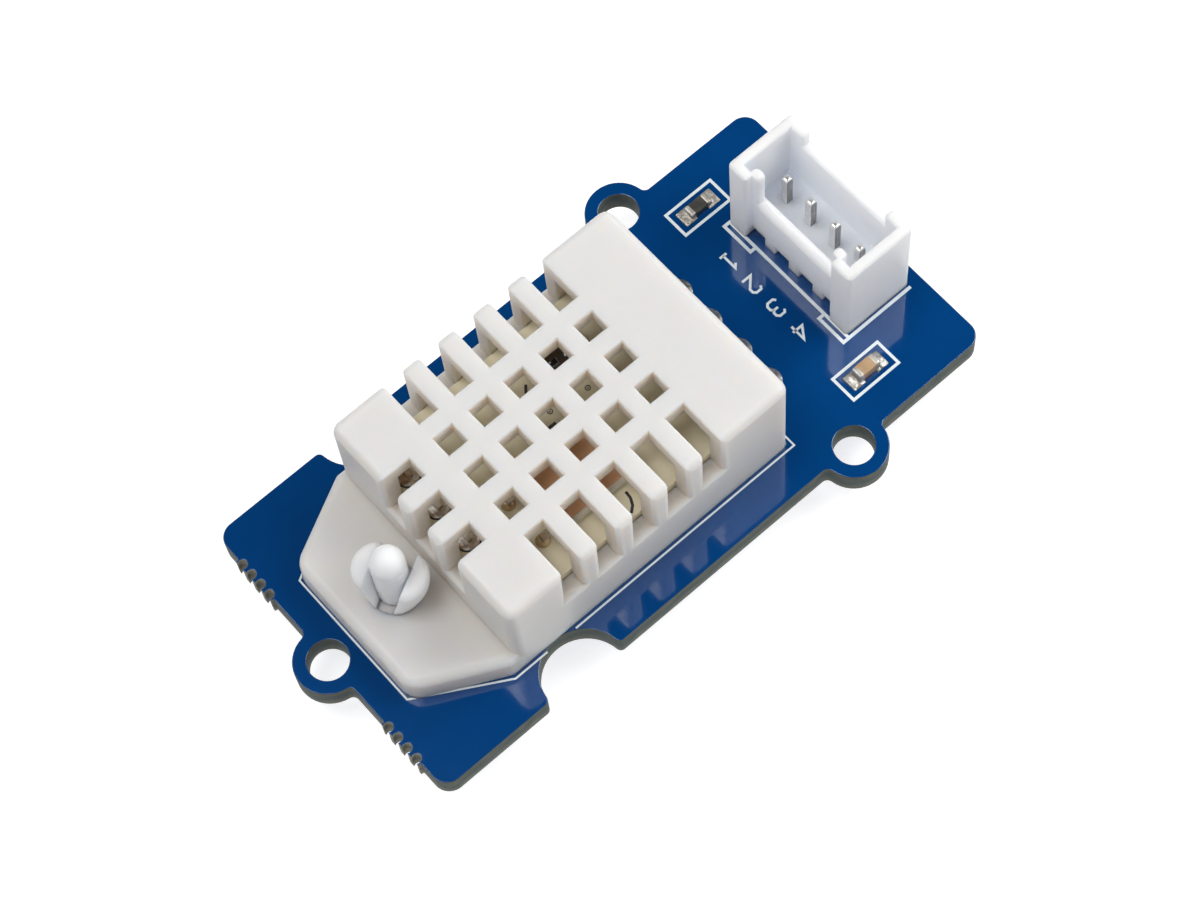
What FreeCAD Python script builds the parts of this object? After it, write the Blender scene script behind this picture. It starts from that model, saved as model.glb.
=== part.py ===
import FreeCAD, Part
import math
import os
import re

import Sketcher
from FreeCAD import Vector

# Temperature and humidity sensor module: a vented sensor can, a four pin header and a few
# chip parts on a small board, with the can's ear held down by a two piece push rivet.
# Pieces are drawn about the middle of the board's upper face: X runs from the ear end to
# the header end and Z points up. Their placements then bring the origin to the middle of
# the footprint, level with the lowest point.

drivingSizes = {
    # Main board
    "board_length": 40.0,
    "board_width": 20.0,
    "board_thickness": 1.6,
    "board_corner_radius": 1.0,
    "mount_hole_radius": 1.2,
    "mount_ear_radius": 2.0,
    "mount_ear_neck_radius": 0.4,
    "side_ear_from_end": 10.0,
    "notch_radius": 2.5,
    "notch_from_end": 10.0,
    "notch_corner_radius": 0.35,
    # Rough strips left where the board was broken out of its panel
    "snap_hole_radius": 0.28,
    "snap_hole_pitch": 0.8,
    "snap_hole_count": 4,
    "snap_strip_middle": 6.4,
    "snap_strip_proud": 0.18,
    # Vented cover of the sensor can, with its mounting ear
    "can_length": 20.0,
    "can_width": 15.1,
    "can_height": 7.7,
    "can_middle": -2.6,
    "can_wall": 1.2,
    "can_edge_radius": 0.55,
    "can_corner_radius": 0.65,
    "ear_length": 5.5,
    "ear_thickness": 2.0,
    "ear_shoulder": 0.4,
    "ear_end_width": 9.8,
    "ear_corner_radius": 1.3,
    "ear_edge_radius": 0.6,
    "vent_width": 1.3,
    "vent_pitch": 2.5,
    "vent_columns": 5,
    "vent_rows": 3,
    "vent_first_column": 4.45,
    "side_vent_reach": 3.2,
    "end_vent_reach": 2.1,
    "vent_sill_height": 3.75,
    "vent_mouth_radius": 0.4,
    # Back cover and inner board
    "cover_fit": 0.1,
    "back_cover_thickness": 1.1,
    "post_width": 1.3,
    "lead_rest_height": 0.45,
    "lead_rest_width": 0.65,
    "lead_rest_inset": 2.6,
    "inner_board_thickness": 0.8,
    "via_radius": 0.18,
    "via_y": 0.9,
    "via_spread": 2.7,
    # Leads of the sensor can
    "lead_count": 4,
    "lead_pitch": 2.54,
    "lead_width": 0.5,
    "lead_thickness": 0.3,
    "lead_slot_fit": 0.1,
    "lead_bend_radius": 0.5,
    "lead_inner_inset": 0.9,
    "lead_foot_reach": 1.7,
    "lead_inner_rise": 0.45,
    "lead_drill_radius": 0.5,
    # Solder
    "solder_land_radius": 0.85,
    "solder_neck": 0.45,
    "solder_collar": 0.45,
    "solder_cone": 1.2,
    "header_solder_cone": 0.95,
    "solder_cone_bow": 1.5,
    "solder_collar_bow": 2.0,
    "inner_solder_radius": 0.95,
    "inner_solder_height": 0.75,
    # Humidity element on the inner board, placed from the middle of the can
    "element_x": -1.15,
    "element_y": -2.65,
    "element_length": 5.4,
    "element_width": 4.0,
    "element_thickness": 0.5,
    "element_gap": 0.3,
    "film_border": 0.22,
    "film_thickness": 0.1,
    "element_lead_width": 0.4,
    "element_lead_thickness": 0.2,
    "element_lead_pitch": 2.9,
    "element_lead_reach": 1.1,
    "element_drill_radius": 0.28,
    "element_solder_radius": 0.6,
    "element_solder_neck": 0.24,
    # Temperature element on the inner board
    "bead_x": 2.4,
    "bead_y": 3.55,
    "bead_length": 2.6,
    "bead_width": 2.2,
    "bead_height": 1.4,
    "bead_lead_radius": 0.13,
    "bead_lead_pitch": 0.9,
    "bead_lead_reach": 0.8,
    "bead_lead_overlap": 0.3,
    # Controller under the inner board
    "chip_length": 4.9,
    "chip_width": 3.9,
    "chip_height": 1.25,
    "chip_standoff": 0.1,
    "chip_lead_gap": 0.2,
    "chip_legs_a_side": 4,
    "chip_leg_pitch": 1.27,
    "chip_leg_width": 0.4,
    "chip_leg_thickness": 0.2,
    "chip_leg_shoulder": 0.33,
    "chip_leg_reach": 1.0,
    # Chip resistors and capacitors
    "chip_part_length": 1.6,
    "chip_part_width": 0.8,
    "chip_part_cap": 0.35,
    "resistor_height": 0.45,
    "capacitor_height": 0.8,
    "small_part_length": 1.0,
    "small_part_width": 0.5,
    "small_part_cap": 0.25,
    "small_part_height": 0.35,
    "inner_resistor_x": -0.2,
    "inner_resistor_y": 0.45,
    "inner_capacitor_x": -4.9,
    "chip_part_from_end": 6.4,
    "chip_part_from_side": 2.9,
    "chip_solder_reach": 0.5,
    "chip_solder_border": 0.06,
    "chip_solder_bow": 0.8,
    # Four pin header
    "header_from_end": 0.8,
    "header_depth": 4.9,
    "header_width": 10.0,
    "header_height": 6.9,
    "header_shift": 0.25,
    "header_wall": 0.7,
    "header_floor_top": 2.0,
    "header_standoff": 0.85,
    "header_back_height": 5.8,
    "header_back_opening": 6.6,
    "header_front_height": 4.1,
    "header_front_opening": 5.9,
    "header_front_recess": 0.5,
    "header_recess_width": 6.9,
    "header_nose_width": 0.8,
    "header_nose_depth": 0.7,
    "header_nose_radius": 0.3,
    "header_foot_gap": 1.15,
    "pin_pitch": 2.0,
    "pin_count": 4,
    "pin_side": 0.5,
    "pin_row_from_back": 2.15,
    "pin_rise": 2.5,
    "pin_tail": 1.5,
    "pin_tip_chamfer": 0.14,
    "pin_fit": 0.02,
    "pin_drill_radius": 0.45,
    # Push rivet that holds the ear: sleeve with spread legs, and its release pin
    "rivet_from_can": 2.3,
    "rivet_hole_radius": 1.5,
    "rivet_hole_fit": 0.05,
    "rivet_pin_radius": 1.0,
    "rivet_pin_fit": 0.05,
    "rivet_flange_radius": 2.5,
    "rivet_flange_thickness": 1.0,
    "rivet_flange_round": 0.6,
    "rivet_head_radius": 1.9,
    "rivet_head_thickness": 0.8,
    "rivet_head_round": 0.5,
    "rivet_head_gap": 0.1,
    "rivet_leg_radius": 2.2,
    "rivet_leg_rise": 2.8,
    "rivet_leg_clearance": 0.1,
    "rivet_leg_flare": 6.5,
    "rivet_leg_round": 0.5,
    "rivet_leg_wall": 0.7,
    "rivet_split_width": 2.7,
    "rivet_split_base": 0.3,
    "rivet_split_depth": 1.0,
    "rivet_leg_turn": -62.0,
    "rivet_pin_rise": 4.8,
    "rivet_pin_dome": 0.85,
    "rivet_pin_ring": 0.3,
    "rivet_pin_neck": 0.08,
}

document = FreeCAD.newDocument("humidity_sensor")
sheet = document.addObject("Spreadsheet::Sheet", "sizes")
for row, (alias, size) in enumerate(drivingSizes.items(), start=1):
    sheet.set(f"A{row}", alias)
    sheet.set(f"B{row}", str(size))
    sheet.setAlias(f"B{row}", alias)
document.recompute()


# Sizes in words: "board_length / 2" is read from the sheet wherever it is used.
def formula(words):
    return re.sub(r"[a-z]+(?:_[a-z]+)+", lambda alias: "sizes." + alias.group(0), str(words))


def number(words):
    return float(sheet.evalExpression(formula(words)))


def count(alias):
    return int(round(number(alias)))


def bind(thing, place, words):
    thing.setExpression(place, formula(words))


# Places along a row of evenly spaced things, about its middle.
def rowPlaces(copies, pitch, middle="0"):
    half = (count(copies) - 1) / 2
    return [f"({middle}) + ({step - half}) * ({pitch})" for step in range(count(copies))]


# Heights, edges and places that several pieces share
boardBottom = "-board_thickness"
boardEnd = "board_length / 2"
boardSide = "board_width / 2"
sideEarX = "board_length / 2 - side_ear_from_end"
notchX = "notch_from_end - board_length / 2"
canEarEnd = "can_middle - can_length / 2"
canLeadEnd = "can_middle + can_length / 2"
canSide = "can_width / 2"
canInnerEarEnd = f"{canEarEnd} + can_wall"
canInnerLeadEnd = f"{canLeadEnd} - can_wall"
canInnerSide = f"{canSide} - can_wall"
leadBottom = "back_cover_thickness + lead_rest_height"
leadTop = f"{leadBottom} + lead_thickness"
innerBoardBottom = f"({leadTop} + chip_lead_gap + chip_height + chip_standoff)"
innerBoardTop = f"({innerBoardBottom} + inner_board_thickness)"
leadInnerX = f"{canInnerEarEnd} + lead_inner_inset"
leadFootX = f"{canLeadEnd} + lead_foot_reach"
elementX = "(can_middle + element_x)"
elementEarEnd = f"{elementX} - element_length / 2"
elementFootX = f"{elementEarEnd} - element_lead_reach"
beadX = "can_middle + bead_x"
headerBack = "board_length / 2 - header_from_end"
headerFront = f"{headerBack} - header_depth"
pinRowX = f"{headerBack} - pin_row_from_back"
rivetX = f"{canEarEnd} - rivet_from_can"
standHeight = "rivet_flange_thickness + rivet_head_gap + rivet_head_thickness"
liftX = "mount_ear_radius / 2"
liftZ = f"board_thickness + {standHeight}"
throughAll = "4 * can_height"
leadRow = rowPlaces("lead_count", "lead_pitch")
pinRow = rowPlaces("pin_count", "pin_pitch", "header_shift")

products = []


# Puts a finished piece in its place and keeps it for writing.
def finish(piece, label, x="0", y="0", z="0"):
    piece.Label = label
    bind(piece, "Placement.Base.x", f"{x} + {liftX}")
    bind(piece, "Placement.Base.y", y)
    bind(piece, "Placement.Base.z", f"{z} + {liftZ}")
    products.append(piece)
    return piece


def newBody(name):
    return document.addObject("PartDesign::Body", name)


def newSketch(body, name, plane="XY_Plane", height="0"):
    sketch = body.newObject("Sketcher::SketchObject", name)
    support = [feature for feature in body.Origin.OriginFeatures if feature.Role == plane][0]
    sketch.AttachmentSupport = [(support, "")]
    sketch.MapMode = "FlatFace"
    bind(sketch, "AttachmentOffset.Base.z", height)
    return sketch


def placePoint(sketch, geometry, position, x, y):
    for kind, words in (("DistanceX", x), ("DistanceY", y)):
        limit = Sketcher.Constraint(kind, -1, 1, geometry, position, number(words))
        bind(sketch, f"Constraints[{sketch.addConstraint(limit)}]", words)


def addCircle(sketch, x, y, radius):
    circle = Part.Circle(Vector(number(x), number(y), 0), Vector(0, 0, 1), number(radius))
    index = sketch.addGeometry(circle, False)
    placePoint(sketch, index, 3, x, y)
    limit = Sketcher.Constraint("Radius", index, number(radius))
    bind(sketch, f"Constraints[{sketch.addConstraint(limit)}]", radius)


# A closed outline. A corner is (x, y), or (x, y, radius) where the side that leaves it is
# an arc: a positive radius turns left, a negative one right.
def addOutline(sketch, corners):
    first = sketch.GeometryCount
    places = [Vector(number(corner[0]), number(corner[1]), 0) for corner in corners]
    starts = []
    for step, corner in enumerate(corners):
        start = places[step]
        end = places[(step + 1) % len(corners)]
        if len(corner) == 2:
            sketch.addGeometry(Part.LineSegment(start, end), False)
            starts.append(1)
            continue
        radius = number(corner[2])
        chord = end - start
        rise = math.sqrt(max(radius * radius - chord.Length * chord.Length / 4, 0))
        left = Vector(-chord.y, chord.x, 0).normalize()
        centre = (start + end) * 0.5 + left * math.copysign(rise, radius)
        fromPoint, toPoint = (start, end) if radius > 0 else (end, start)
        angles = [math.atan2(point.y - centre.y, point.x - centre.x) for point in (fromPoint, toPoint)]
        if angles[1] < angles[0]:
            angles[1] += 2 * math.pi
        circle = Part.Circle(centre, Vector(0, 0, 1), abs(radius))
        sketch.addGeometry(Part.ArcOfCircle(circle, *angles), False)
        starts.append(1 if radius > 0 else 2)
    for step, corner in enumerate(corners):
        following = (step + 1) % len(corners)
        ends = (first + step, 3 - starts[step], first + following, starts[following])
        sketch.addConstraint(Sketcher.Constraint("Coincident", *ends))
        placePoint(sketch, first + step, starts[step], corner[0], corner[1])
        if len(corner) == 3:
            limit = Sketcher.Constraint("Radius", first + step, abs(number(corner[2])))
            bind(sketch, f"Constraints[{sketch.addConstraint(limit)}]", f"abs({corner[2]})")


def addRectangle(sketch, x0, x1, y0, y1):
    addOutline(sketch, [(x0, y0), (x1, y0), (x1, y1), (x0, y1)])


# Adds material from the sketch plane, upwards unless told otherwise.
def pad(sketch, length, downwards=False, bothWays=False):
    body = sketch.getParentGeoFeatureGroup()
    feature = body.newObject("PartDesign::Pad", sketch.Name + "_pad")
    feature.Profile = sketch
    feature.Reversed = downwards
    if bothWays:
        feature.SideType = "Symmetric"
    bind(feature, "Length", length)
    document.recompute()


# Removes material from the sketch plane, downwards unless told otherwise.
def pocket(sketch, length, upwards=False, bothWays=False):
    body = sketch.getParentGeoFeatureGroup()
    before = body.Shape.Volume
    feature = body.newObject("PartDesign::Pocket", sketch.Name + "_pocket")
    feature.Profile = sketch
    feature.Reversed = upwards
    if bothWays:
        feature.SideType = "Symmetric"
    bind(feature, "Length", length)
    document.recompute()
    if body.Shape.Volume >= before:
        raise RuntimeError(f"{feature.Name} removes nothing")


def revolve(sketch):
    body = sketch.getParentGeoFeatureGroup()
    feature = body.newObject("PartDesign::Revolution", sketch.Name + "_revolution")
    feature.Profile = sketch
    feature.ReferenceAxis = (sketch, ["V_Axis"])
    feature.Angle = 360
    document.recompute()


def dressEdges(body, kind, name, measure, size, wanted):
    base = body.Tip
    edges = [f"Edge{place}" for place, edge in enumerate(base.Shape.Edges, start=1) if wanted(edge)]
    feature = body.newObject(kind, name)
    feature.Base = (base, edges)
    bind(feature, measure, size)
    document.recompute()


def roundEdges(body, name, radius, wanted):
    dressEdges(body, "PartDesign::Fillet", name, "Radius", radius, wanted)


# Places closer than this, in millimetres, are the same place.
closeEnough = 1e-4


def near(value, target):
    return abs(value - target) < closeEnough


# True for an upright edge that stands on one of the given places.
def uprightAt(places):
    targets = [(number(x), number(y)) for x, y in places]

    def test(edge):
        ends = [vertex.Point for vertex in edge.Vertexes]
        if len(ends) < 2 or near(ends[0].z, ends[1].z):
            return False
        return any(all(near(end.x, x) and near(end.y, y) for end in ends) for x, y in targets)

    return test


# True for an edge that lies all at one height.
def levelAt(height):
    level = number(height)
    return lambda edge: all(near(vertex.Z, level) for vertex in edge.Vertexes)


def block(name, x0, x1, y0, y1, z0, z1):
    box = document.addObject("Part::Box", name)
    for place, low, high in (("Length", x0, x1), ("Width", y0, y1), ("Height", z0, z1)):
        bind(box, place, f"({high}) - ({low})")
    for place, low in (("x", x0), ("y", y0), ("z", z0)):
        bind(box, f"Placement.Base.{place}", low)
    return box


def gather(name, pieces):
    group = document.addObject("Part::Compound", name)
    group.Links = pieces
    document.recompute()
    return group


# Main board
def makeCircuitBoard():
    body = newBody("circuit_board")
    outline = newSketch(body, "board_outline")
    addRectangle(outline, f"-{boardEnd}", boardEnd, f"-{boardSide}", boardSide)
    pad(outline, "board_thickness", downwards=True)

    mountPlaces = [(sideEarX, boardSide), (sideEarX, f"-{boardSide}"), (f"-{boardEnd}", "0")]
    ears = newSketch(body, "mount_ears")
    for x, y in mountPlaces:
        addCircle(ears, x, y, "mount_ear_radius")
    pad(ears, "board_thickness", downwards=True)

    stripMiddles = ("-snap_strip_middle", "snap_strip_middle")
    snapRows = [rowPlaces("snap_hole_count", "snap_hole_pitch", middle) for middle in stripMiddles]
    strips = newSketch(body, "snap_strips")
    for places in snapRows:
        addRectangle(
            strips,
            f"-{boardEnd} - snap_strip_proud",
            f"-{boardEnd} + snap_hole_radius",
            f"{places[0]} - snap_hole_pitch / 2",
            f"{places[-1]} + snap_hole_pitch / 2",
        )
    pad(strips, "board_thickness", downwards=True)

    notches = newSketch(body, "notches")
    for side in ("-", ""):
        addCircle(notches, notchX, side + boardSide, "notch_radius")
    pocket(notches, "board_thickness")

    snapHoles = newSketch(body, "snap_holes")
    for places in snapRows:
        for y in places:
            addCircle(snapHoles, f"-{boardEnd}", y, "snap_hole_radius")
    pocket(snapHoles, "board_thickness")

    holes = newSketch(body, "drilled_holes")
    for x, y in mountPlaces:
        addCircle(holes, x, y, "mount_hole_radius")
    addCircle(holes, rivetX, "0", "rivet_hole_radius")
    for y in leadRow:
        addCircle(holes, leadFootX, y, "lead_drill_radius")
    for y in pinRow:
        addCircle(holes, pinRowX, y, "pin_drill_radius")
    pocket(holes, "board_thickness")

    signs = ("-", "")
    corners = [(f"{x}{boardEnd}", f"{y}{boardSide}") for x in signs for y in signs]
    roundEdges(body, "board_corners", "board_corner_radius", uprightAt(corners))
    necks = [(f"{sideEarX} {way} mount_ear_radius", f"{side}{boardSide}") for way in "+-" for side in signs]
    necks += [(f"-{boardEnd}", f"{way}mount_ear_radius") for way in signs]
    roundEdges(body, "ear_necks", "mount_ear_neck_radius", uprightAt(necks))
    lips = [(f"{notchX} {way} notch_radius", f"{side}{boardSide}") for way in "+-" for side in signs]
    roundEdges(body, "notch_lips", "notch_corner_radius", uprightAt(lips))
    finish(body, "circuit_board")


# Sensor can: vented cover with its ear
def makeSensorHousing():
    body = newBody("sensor_housing")
    shell = newSketch(body, "can_outline")
    addRectangle(shell, canEarEnd, canLeadEnd, f"-{canSide}", canSide)
    pad(shell, "can_height")
    corners = [(x, f"{y}{canSide}") for x in (canEarEnd, canLeadEnd) for y in ("-", "")]
    roundEdges(body, "can_corners", "can_corner_radius", uprightAt(corners))
    roundEdges(body, "can_edges", "can_edge_radius", levelAt("can_height"))

    earEnd = f"{canEarEnd} - ear_length"
    earTips = [(earEnd, f"{side}ear_end_width / 2") for side in ("-", "")]
    ear = newSketch(body, "ear_outline")
    earRoot = f"{canEarEnd} + can_corner_radius"
    shoulder = f"{canEarEnd} - ear_shoulder"
    earCorners = [(earRoot, f"-{canSide}"), (earRoot, canSide), (shoulder, canSide)]
    addOutline(ear, earCorners + [earTips[1], earTips[0], (shoulder, f"-{canSide}")])
    pad(ear, "ear_thickness")
    roundEdges(body, "ear_corners", "ear_corner_radius", uprightAt(earTips))
    earLevel = number("ear_thickness")
    canEdge = number(canEarEnd)

    def isEarEdge(edge):
        return all(near(vertex.Z, earLevel) and vertex.X < canEdge - closeEnough for vertex in edge.Vertexes)

    roundEdges(body, "ear_edges", "ear_edge_radius", isEarEdge)

    inside = newSketch(body, "can_inside")
    addRectangle(inside, canInnerEarEnd, canInnerLeadEnd, f"-({canInnerSide})", canInnerSide)
    pocket(inside, "can_height - can_wall", upwards=True)
    rivetHole = newSketch(body, "rivet_hole", height="ear_thickness")
    addCircle(rivetHole, rivetX, "0", "rivet_hole_radius + rivet_hole_fit")
    pocket(rivetHole, "ear_thickness")

    firstColumn = f"{canEarEnd} + vent_first_column"
    columns = [f"{firstColumn} + {step} * vent_pitch" for step in range(count("vent_columns"))]
    rows = rowPlaces("vent_rows", "vent_pitch")
    vents = newSketch(body, "vent_grid", height="can_height")
    for x in columns:
        for y in rows:
            addRectangle(
                vents,
                f"{x} - vent_width / 2",
                f"{x} + vent_width / 2",
                f"{y} - vent_width / 2",
                f"{y} + vent_width / 2",
            )
    pocket(vents, "can_wall + vent_mouth_radius")

    # Slots that cross the top and run down the walls, each with a rounded mouth
    slots = newSketch(body, "vent_slots", height="vent_sill_height")
    flare = "(vent_width / 2 + vent_mouth_radius)"
    for side in (-1, 1):
        turn = f"{side} * vent_mouth_radius"
        edge = f"{side} * ({canSide})"
        neck = f"{side} * ({canSide} - vent_mouth_radius)"
        clear = f"{side} * ({canSide} + can_wall)"
        deep = f"{side} * ({canSide} - side_vent_reach)"
        for x in columns:
            addOutline(
                slots,
                [
                    (f"{x} - vent_width / 2", deep),
                    (f"{x} + vent_width / 2", deep),
                    (f"{x} + vent_width / 2", neck, f"-({turn})"),
                    (f"{x} + {flare}", edge),
                    (f"{x} + {flare}", clear),
                    (f"{x} - {flare}", clear),
                    (f"{x} - {flare}", edge, f"-({turn})"),
                    (f"{x} - vent_width / 2", neck),
                ],
            )
    for y in rows:
        addOutline(
            slots,
            [
                (f"{canEarEnd} + end_vent_reach", f"{y} - vent_width / 2"),
                (f"{canEarEnd} + end_vent_reach", f"{y} + vent_width / 2"),
                (f"{canEarEnd} + vent_mouth_radius", f"{y} + vent_width / 2", "-vent_mouth_radius"),
                (canEarEnd, f"{y} + {flare}"),
                (f"{canEarEnd} - can_wall", f"{y} + {flare}"),
                (f"{canEarEnd} - can_wall", f"{y} - {flare}"),
                (canEarEnd, f"{y} - {flare}", "-vent_mouth_radius"),
                (f"{canEarEnd} + vent_mouth_radius", f"{y} - vent_width / 2"),
            ],
        )
    pocket(slots, "can_height", upwards=True)

    leadSlots = newSketch(body, "lead_slots")
    for y in leadRow:
        addRectangle(
            leadSlots,
            f"{canInnerLeadEnd} - can_wall / 2",
            f"{canLeadEnd} + can_wall / 2",
            f"{y} - lead_width / 2 - lead_slot_fit",
            f"{y} + lead_width / 2 + lead_slot_fit",
        )
    pocket(leadSlots, f"{leadTop} + lead_slot_fit", upwards=True)
    finish(body, "sensor_housing")


# Back cover of the can: a plate with corner posts for the inner board and rests for the leads
def makeBackCover():
    body = newBody("sensor_back_cover")
    x0 = f"{canInnerEarEnd} + cover_fit"
    x1 = f"{canInnerLeadEnd} - cover_fit"
    y1 = f"({canInnerSide} - cover_fit)"
    plate = newSketch(body, "back_plate")
    addRectangle(plate, x0, x1, f"-{y1}", y1)
    pad(plate, "back_cover_thickness")
    posts = newSketch(body, "board_posts")
    for ends in ((x0, f"{x0} + post_width"), (f"{x1} - post_width", x1)):
        for low, high in ((f"-{y1}", f"-{y1} + post_width"), (f"{y1} - post_width", y1)):
            addRectangle(posts, *ends, low, high)
    pad(posts, innerBoardBottom)
    rests = newSketch(body, "lead_rests")
    restSide = f"({y1} - lead_rest_inset / 2)"
    for x in (f"{x0} + lead_rest_inset", f"{x1} - lead_rest_inset"):
        addRectangle(rests, x, f"{x} + lead_rest_width", f"-{restSide}", restSide)
    pad(rests, leadBottom)
    finish(body, "sensor_back_cover")


def makeInnerBoard():
    body = newBody("inner_circuit_board")
    plate = newSketch(body, "inner_board_outline", height=innerBoardBottom)
    x0 = f"{canInnerEarEnd} + 2 * cover_fit"
    x1 = f"{canInnerLeadEnd} - 2 * cover_fit"
    y1 = f"({canInnerSide} - 2 * cover_fit)"
    addRectangle(plate, x0, x1, f"-{y1}", y1)
    pad(plate, "inner_board_thickness")
    holes = newSketch(body, "inner_board_holes", height=innerBoardTop)
    for y in leadRow:
        addCircle(holes, leadInnerX, y, "lead_drill_radius")
    for side in ("-", "+"):
        addCircle(holes, elementFootX, f"element_y {side} element_lead_pitch / 2", "element_drill_radius")
        addCircle(holes, f"can_middle {side} via_spread / 2 + via_spread / 2", "via_y", "via_radius")
    pocket(holes, "inner_board_thickness")
    finish(body, "inner_circuit_board")


# A can lead: down from its inner joint, along under the inner board, then down through the main board
def makeSensorLead(place, y):
    name = f"sensor_lead_{place}"
    body = newBody(name)
    path = newSketch(body, name + "_side", plane="XZ_Plane")
    half = "lead_thickness / 2"
    inner = leadInnerX
    foot = leadFootX
    under = leadBottom
    over = leadTop
    top = f"{innerBoardTop} + lead_inner_rise"
    tail = f"{boardBottom} - ({standHeight})"
    addOutline(
        path,
        [
            (f"{inner} - {half}", top),
            (f"{inner} - {half}", under),
            (f"{foot} - {half}", under),
            (f"{foot} - {half}", tail),
            (f"{foot} + {half}", tail),
            (f"{foot} + {half}", over),
            (f"{inner} + {half}", over),
            (f"{inner} + {half}", top),
        ],
    )
    pad(path, "lead_width", bothWays=True)
    outerBend = [(number(f"{foot} + {half}"), number(over)), (number(f"{inner} - {half}"), number(under))]

    def isOuterBend(edge):
        points = [vertex.Point for vertex in edge.Vertexes]
        return any(all(near(point.x, x) and near(point.z, z) for point in points) for x, z in outerBend)

    roundEdges(body, name + "_bends", "lead_bend_radius", isOuterBend)
    finish(body, name, y=y)
    return body


# Solder in a hole of the main board: a cone round the tail below and, where the lead comes
# down in the open, a collar on the upper face
def makeThroughJoint(name, drill, cone, collar=None):
    body = newBody(name)
    section = newSketch(body, name + "_section", plane="XZ_Plane")
    tip = f"{boardBottom} - {cone}"
    corners = [
        ("0", tip),
        ("solder_neck", tip, f"-solder_cone_bow * {cone}"),
        ("solder_land_radius", boardBottom),
        (drill, boardBottom),
        (drill, "0"),
    ]
    if collar:
        corners.append(("solder_land_radius", "0", f"-solder_collar_bow * {collar}"))
        corners += [("solder_neck", collar), ("0", collar)]
    else:
        corners += [("0", "0")]
    addOutline(section, corners)
    revolve(section)
    return body


def cutForLead(joint, thickness, width):
    hole = newSketch(joint, joint.Name + "_lead_hole")
    addRectangle(hole, f"-{thickness} / 2", f"{thickness} / 2", f"-{width} / 2", f"{width} / 2")
    pocket(hole, throughAll, bothWays=True)


def placeAt(piece, x, y, z="0"):
    bind(piece, "Placement.Base.x", x)
    bind(piece, "Placement.Base.y", y)
    bind(piece, "Placement.Base.z", z)
    return piece


def makeSensorJoints():
    joints = []
    for place, y in enumerate(leadRow, start=1):
        joint = makeThroughJoint(f"sensor_joint_{place}", "lead_drill_radius", "solder_cone", "solder_collar")
        cutForLead(joint, "lead_thickness", "lead_width")
        joints.append(placeAt(joint, leadFootX, y))
    finish(gather("sensor_joints", joints), "sensor_solder_joints")


def makeHeaderJoints():
    joints = []
    for place, y in enumerate(pinRow, start=1):
        joint = makeThroughJoint(f"header_joint_{place}", "pin_drill_radius", "header_solder_cone")
        cutForLead(joint, "pin_side", "pin_side")
        joints.append(placeAt(joint, pinRowX, y))
    finish(gather("header_joints", joints), "connector_solder_joints")


# Rounded joints where the leads come up through the inner board
def makeInnerJoints():
    joints = []
    rise = "inner_solder_height"
    domeRadius = f"(inner_solder_radius ^ 2 + {rise} ^ 2) / (2 * {rise})"
    for place, y in enumerate(leadRow, start=1):
        joint = newBody(f"inner_joint_{place}")
        section = newSketch(joint, joint.Name + "_section", plane="XZ_Plane")
        addOutline(
            section,
            [
                ("0", innerBoardBottom),
                ("lead_drill_radius", innerBoardBottom),
                ("lead_drill_radius", innerBoardTop),
                ("inner_solder_radius", innerBoardTop, domeRadius),
                ("0", f"{innerBoardTop} + {rise}"),
            ],
        )
        revolve(section)
        hole = newSketch(joint, joint.Name + "_lead_hole", height=innerBoardBottom)
        addRectangle(hole, "-lead_thickness / 2", "lead_thickness / 2", "-lead_width / 2", "lead_width / 2")
        pocket(hole, "inner_board_thickness + lead_inner_rise", upwards=True)
        joints.append(placeAt(joint, leadInnerX, y))
    finish(gather("inner_joints", joints), "inner_solder_joints")


# Humidity element: a ceramic plate with a brown sensing film, carried by two bent leads
def makeHumidityElement():
    bottom = f"({innerBoardTop} + element_gap)"
    top = f"({bottom} + element_thickness)"
    x0 = elementEarEnd
    x1 = f"{elementX} + element_length / 2"
    y0 = "element_y - element_width / 2"
    y1 = "element_y + element_width / 2"
    finish(block("humidity_plate_block", x0, x1, y0, y1, bottom, top), "humidity_plate", x0, y0, bottom)
    filmX = (f"{x0} + film_border", f"{x1} - film_border")
    filmY = (f"{y0} + film_border", f"{y1} - film_border")
    film = block("humidity_film_block", *filmX, *filmY, top, f"{top} + film_thickness")
    finish(film, "humidity_film", filmX[0], filmY[0], top)

    leads = []
    joints = []
    foot = elementFootX
    half = "element_lead_thickness / 2"
    leadLow = f"{top} - element_lead_thickness - {half}"
    leadHigh = f"{top} - {half}"
    for place, side in enumerate(("-", "+"), start=1):
        y = f"element_y {side} element_lead_pitch / 2"
        lead = newBody(f"element_lead_{place}")
        path = newSketch(lead, lead.Name + "_side", plane="XZ_Plane")
        addOutline(
            path,
            [
                (f"{foot} - {half}", innerBoardBottom),
                (f"{foot} + {half}", innerBoardBottom),
                (f"{foot} + {half}", leadLow),
                (x0, leadLow),
                (x0, leadHigh),
                (f"{foot} - {half}", leadHigh),
            ],
        )
        pad(path, "element_lead_width", bothWays=True)
        leads.append(placeAt(lead, "0", y))

        joint = newBody(f"element_joint_{place}")
        section = newSketch(joint, joint.Name + "_section", plane="XZ_Plane")
        jointTop = f"{innerBoardTop} + element_gap"
        addOutline(
            section,
            [
                ("0", innerBoardBottom),
                ("element_drill_radius", innerBoardBottom),
                ("element_drill_radius", innerBoardTop),
                ("element_solder_radius", innerBoardTop, "element_solder_radius"),
                ("element_solder_neck", jointTop),
                ("0", jointTop),
            ],
        )
        revolve(section)
        cutForLead(joint, "element_lead_thickness", "element_lead_width")
        joints.append(placeAt(joint, foot, y))
    finish(gather("element_leads", leads), "humidity_leads")
    finish(gather("element_joints", joints), "humidity_solder_joints")


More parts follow.
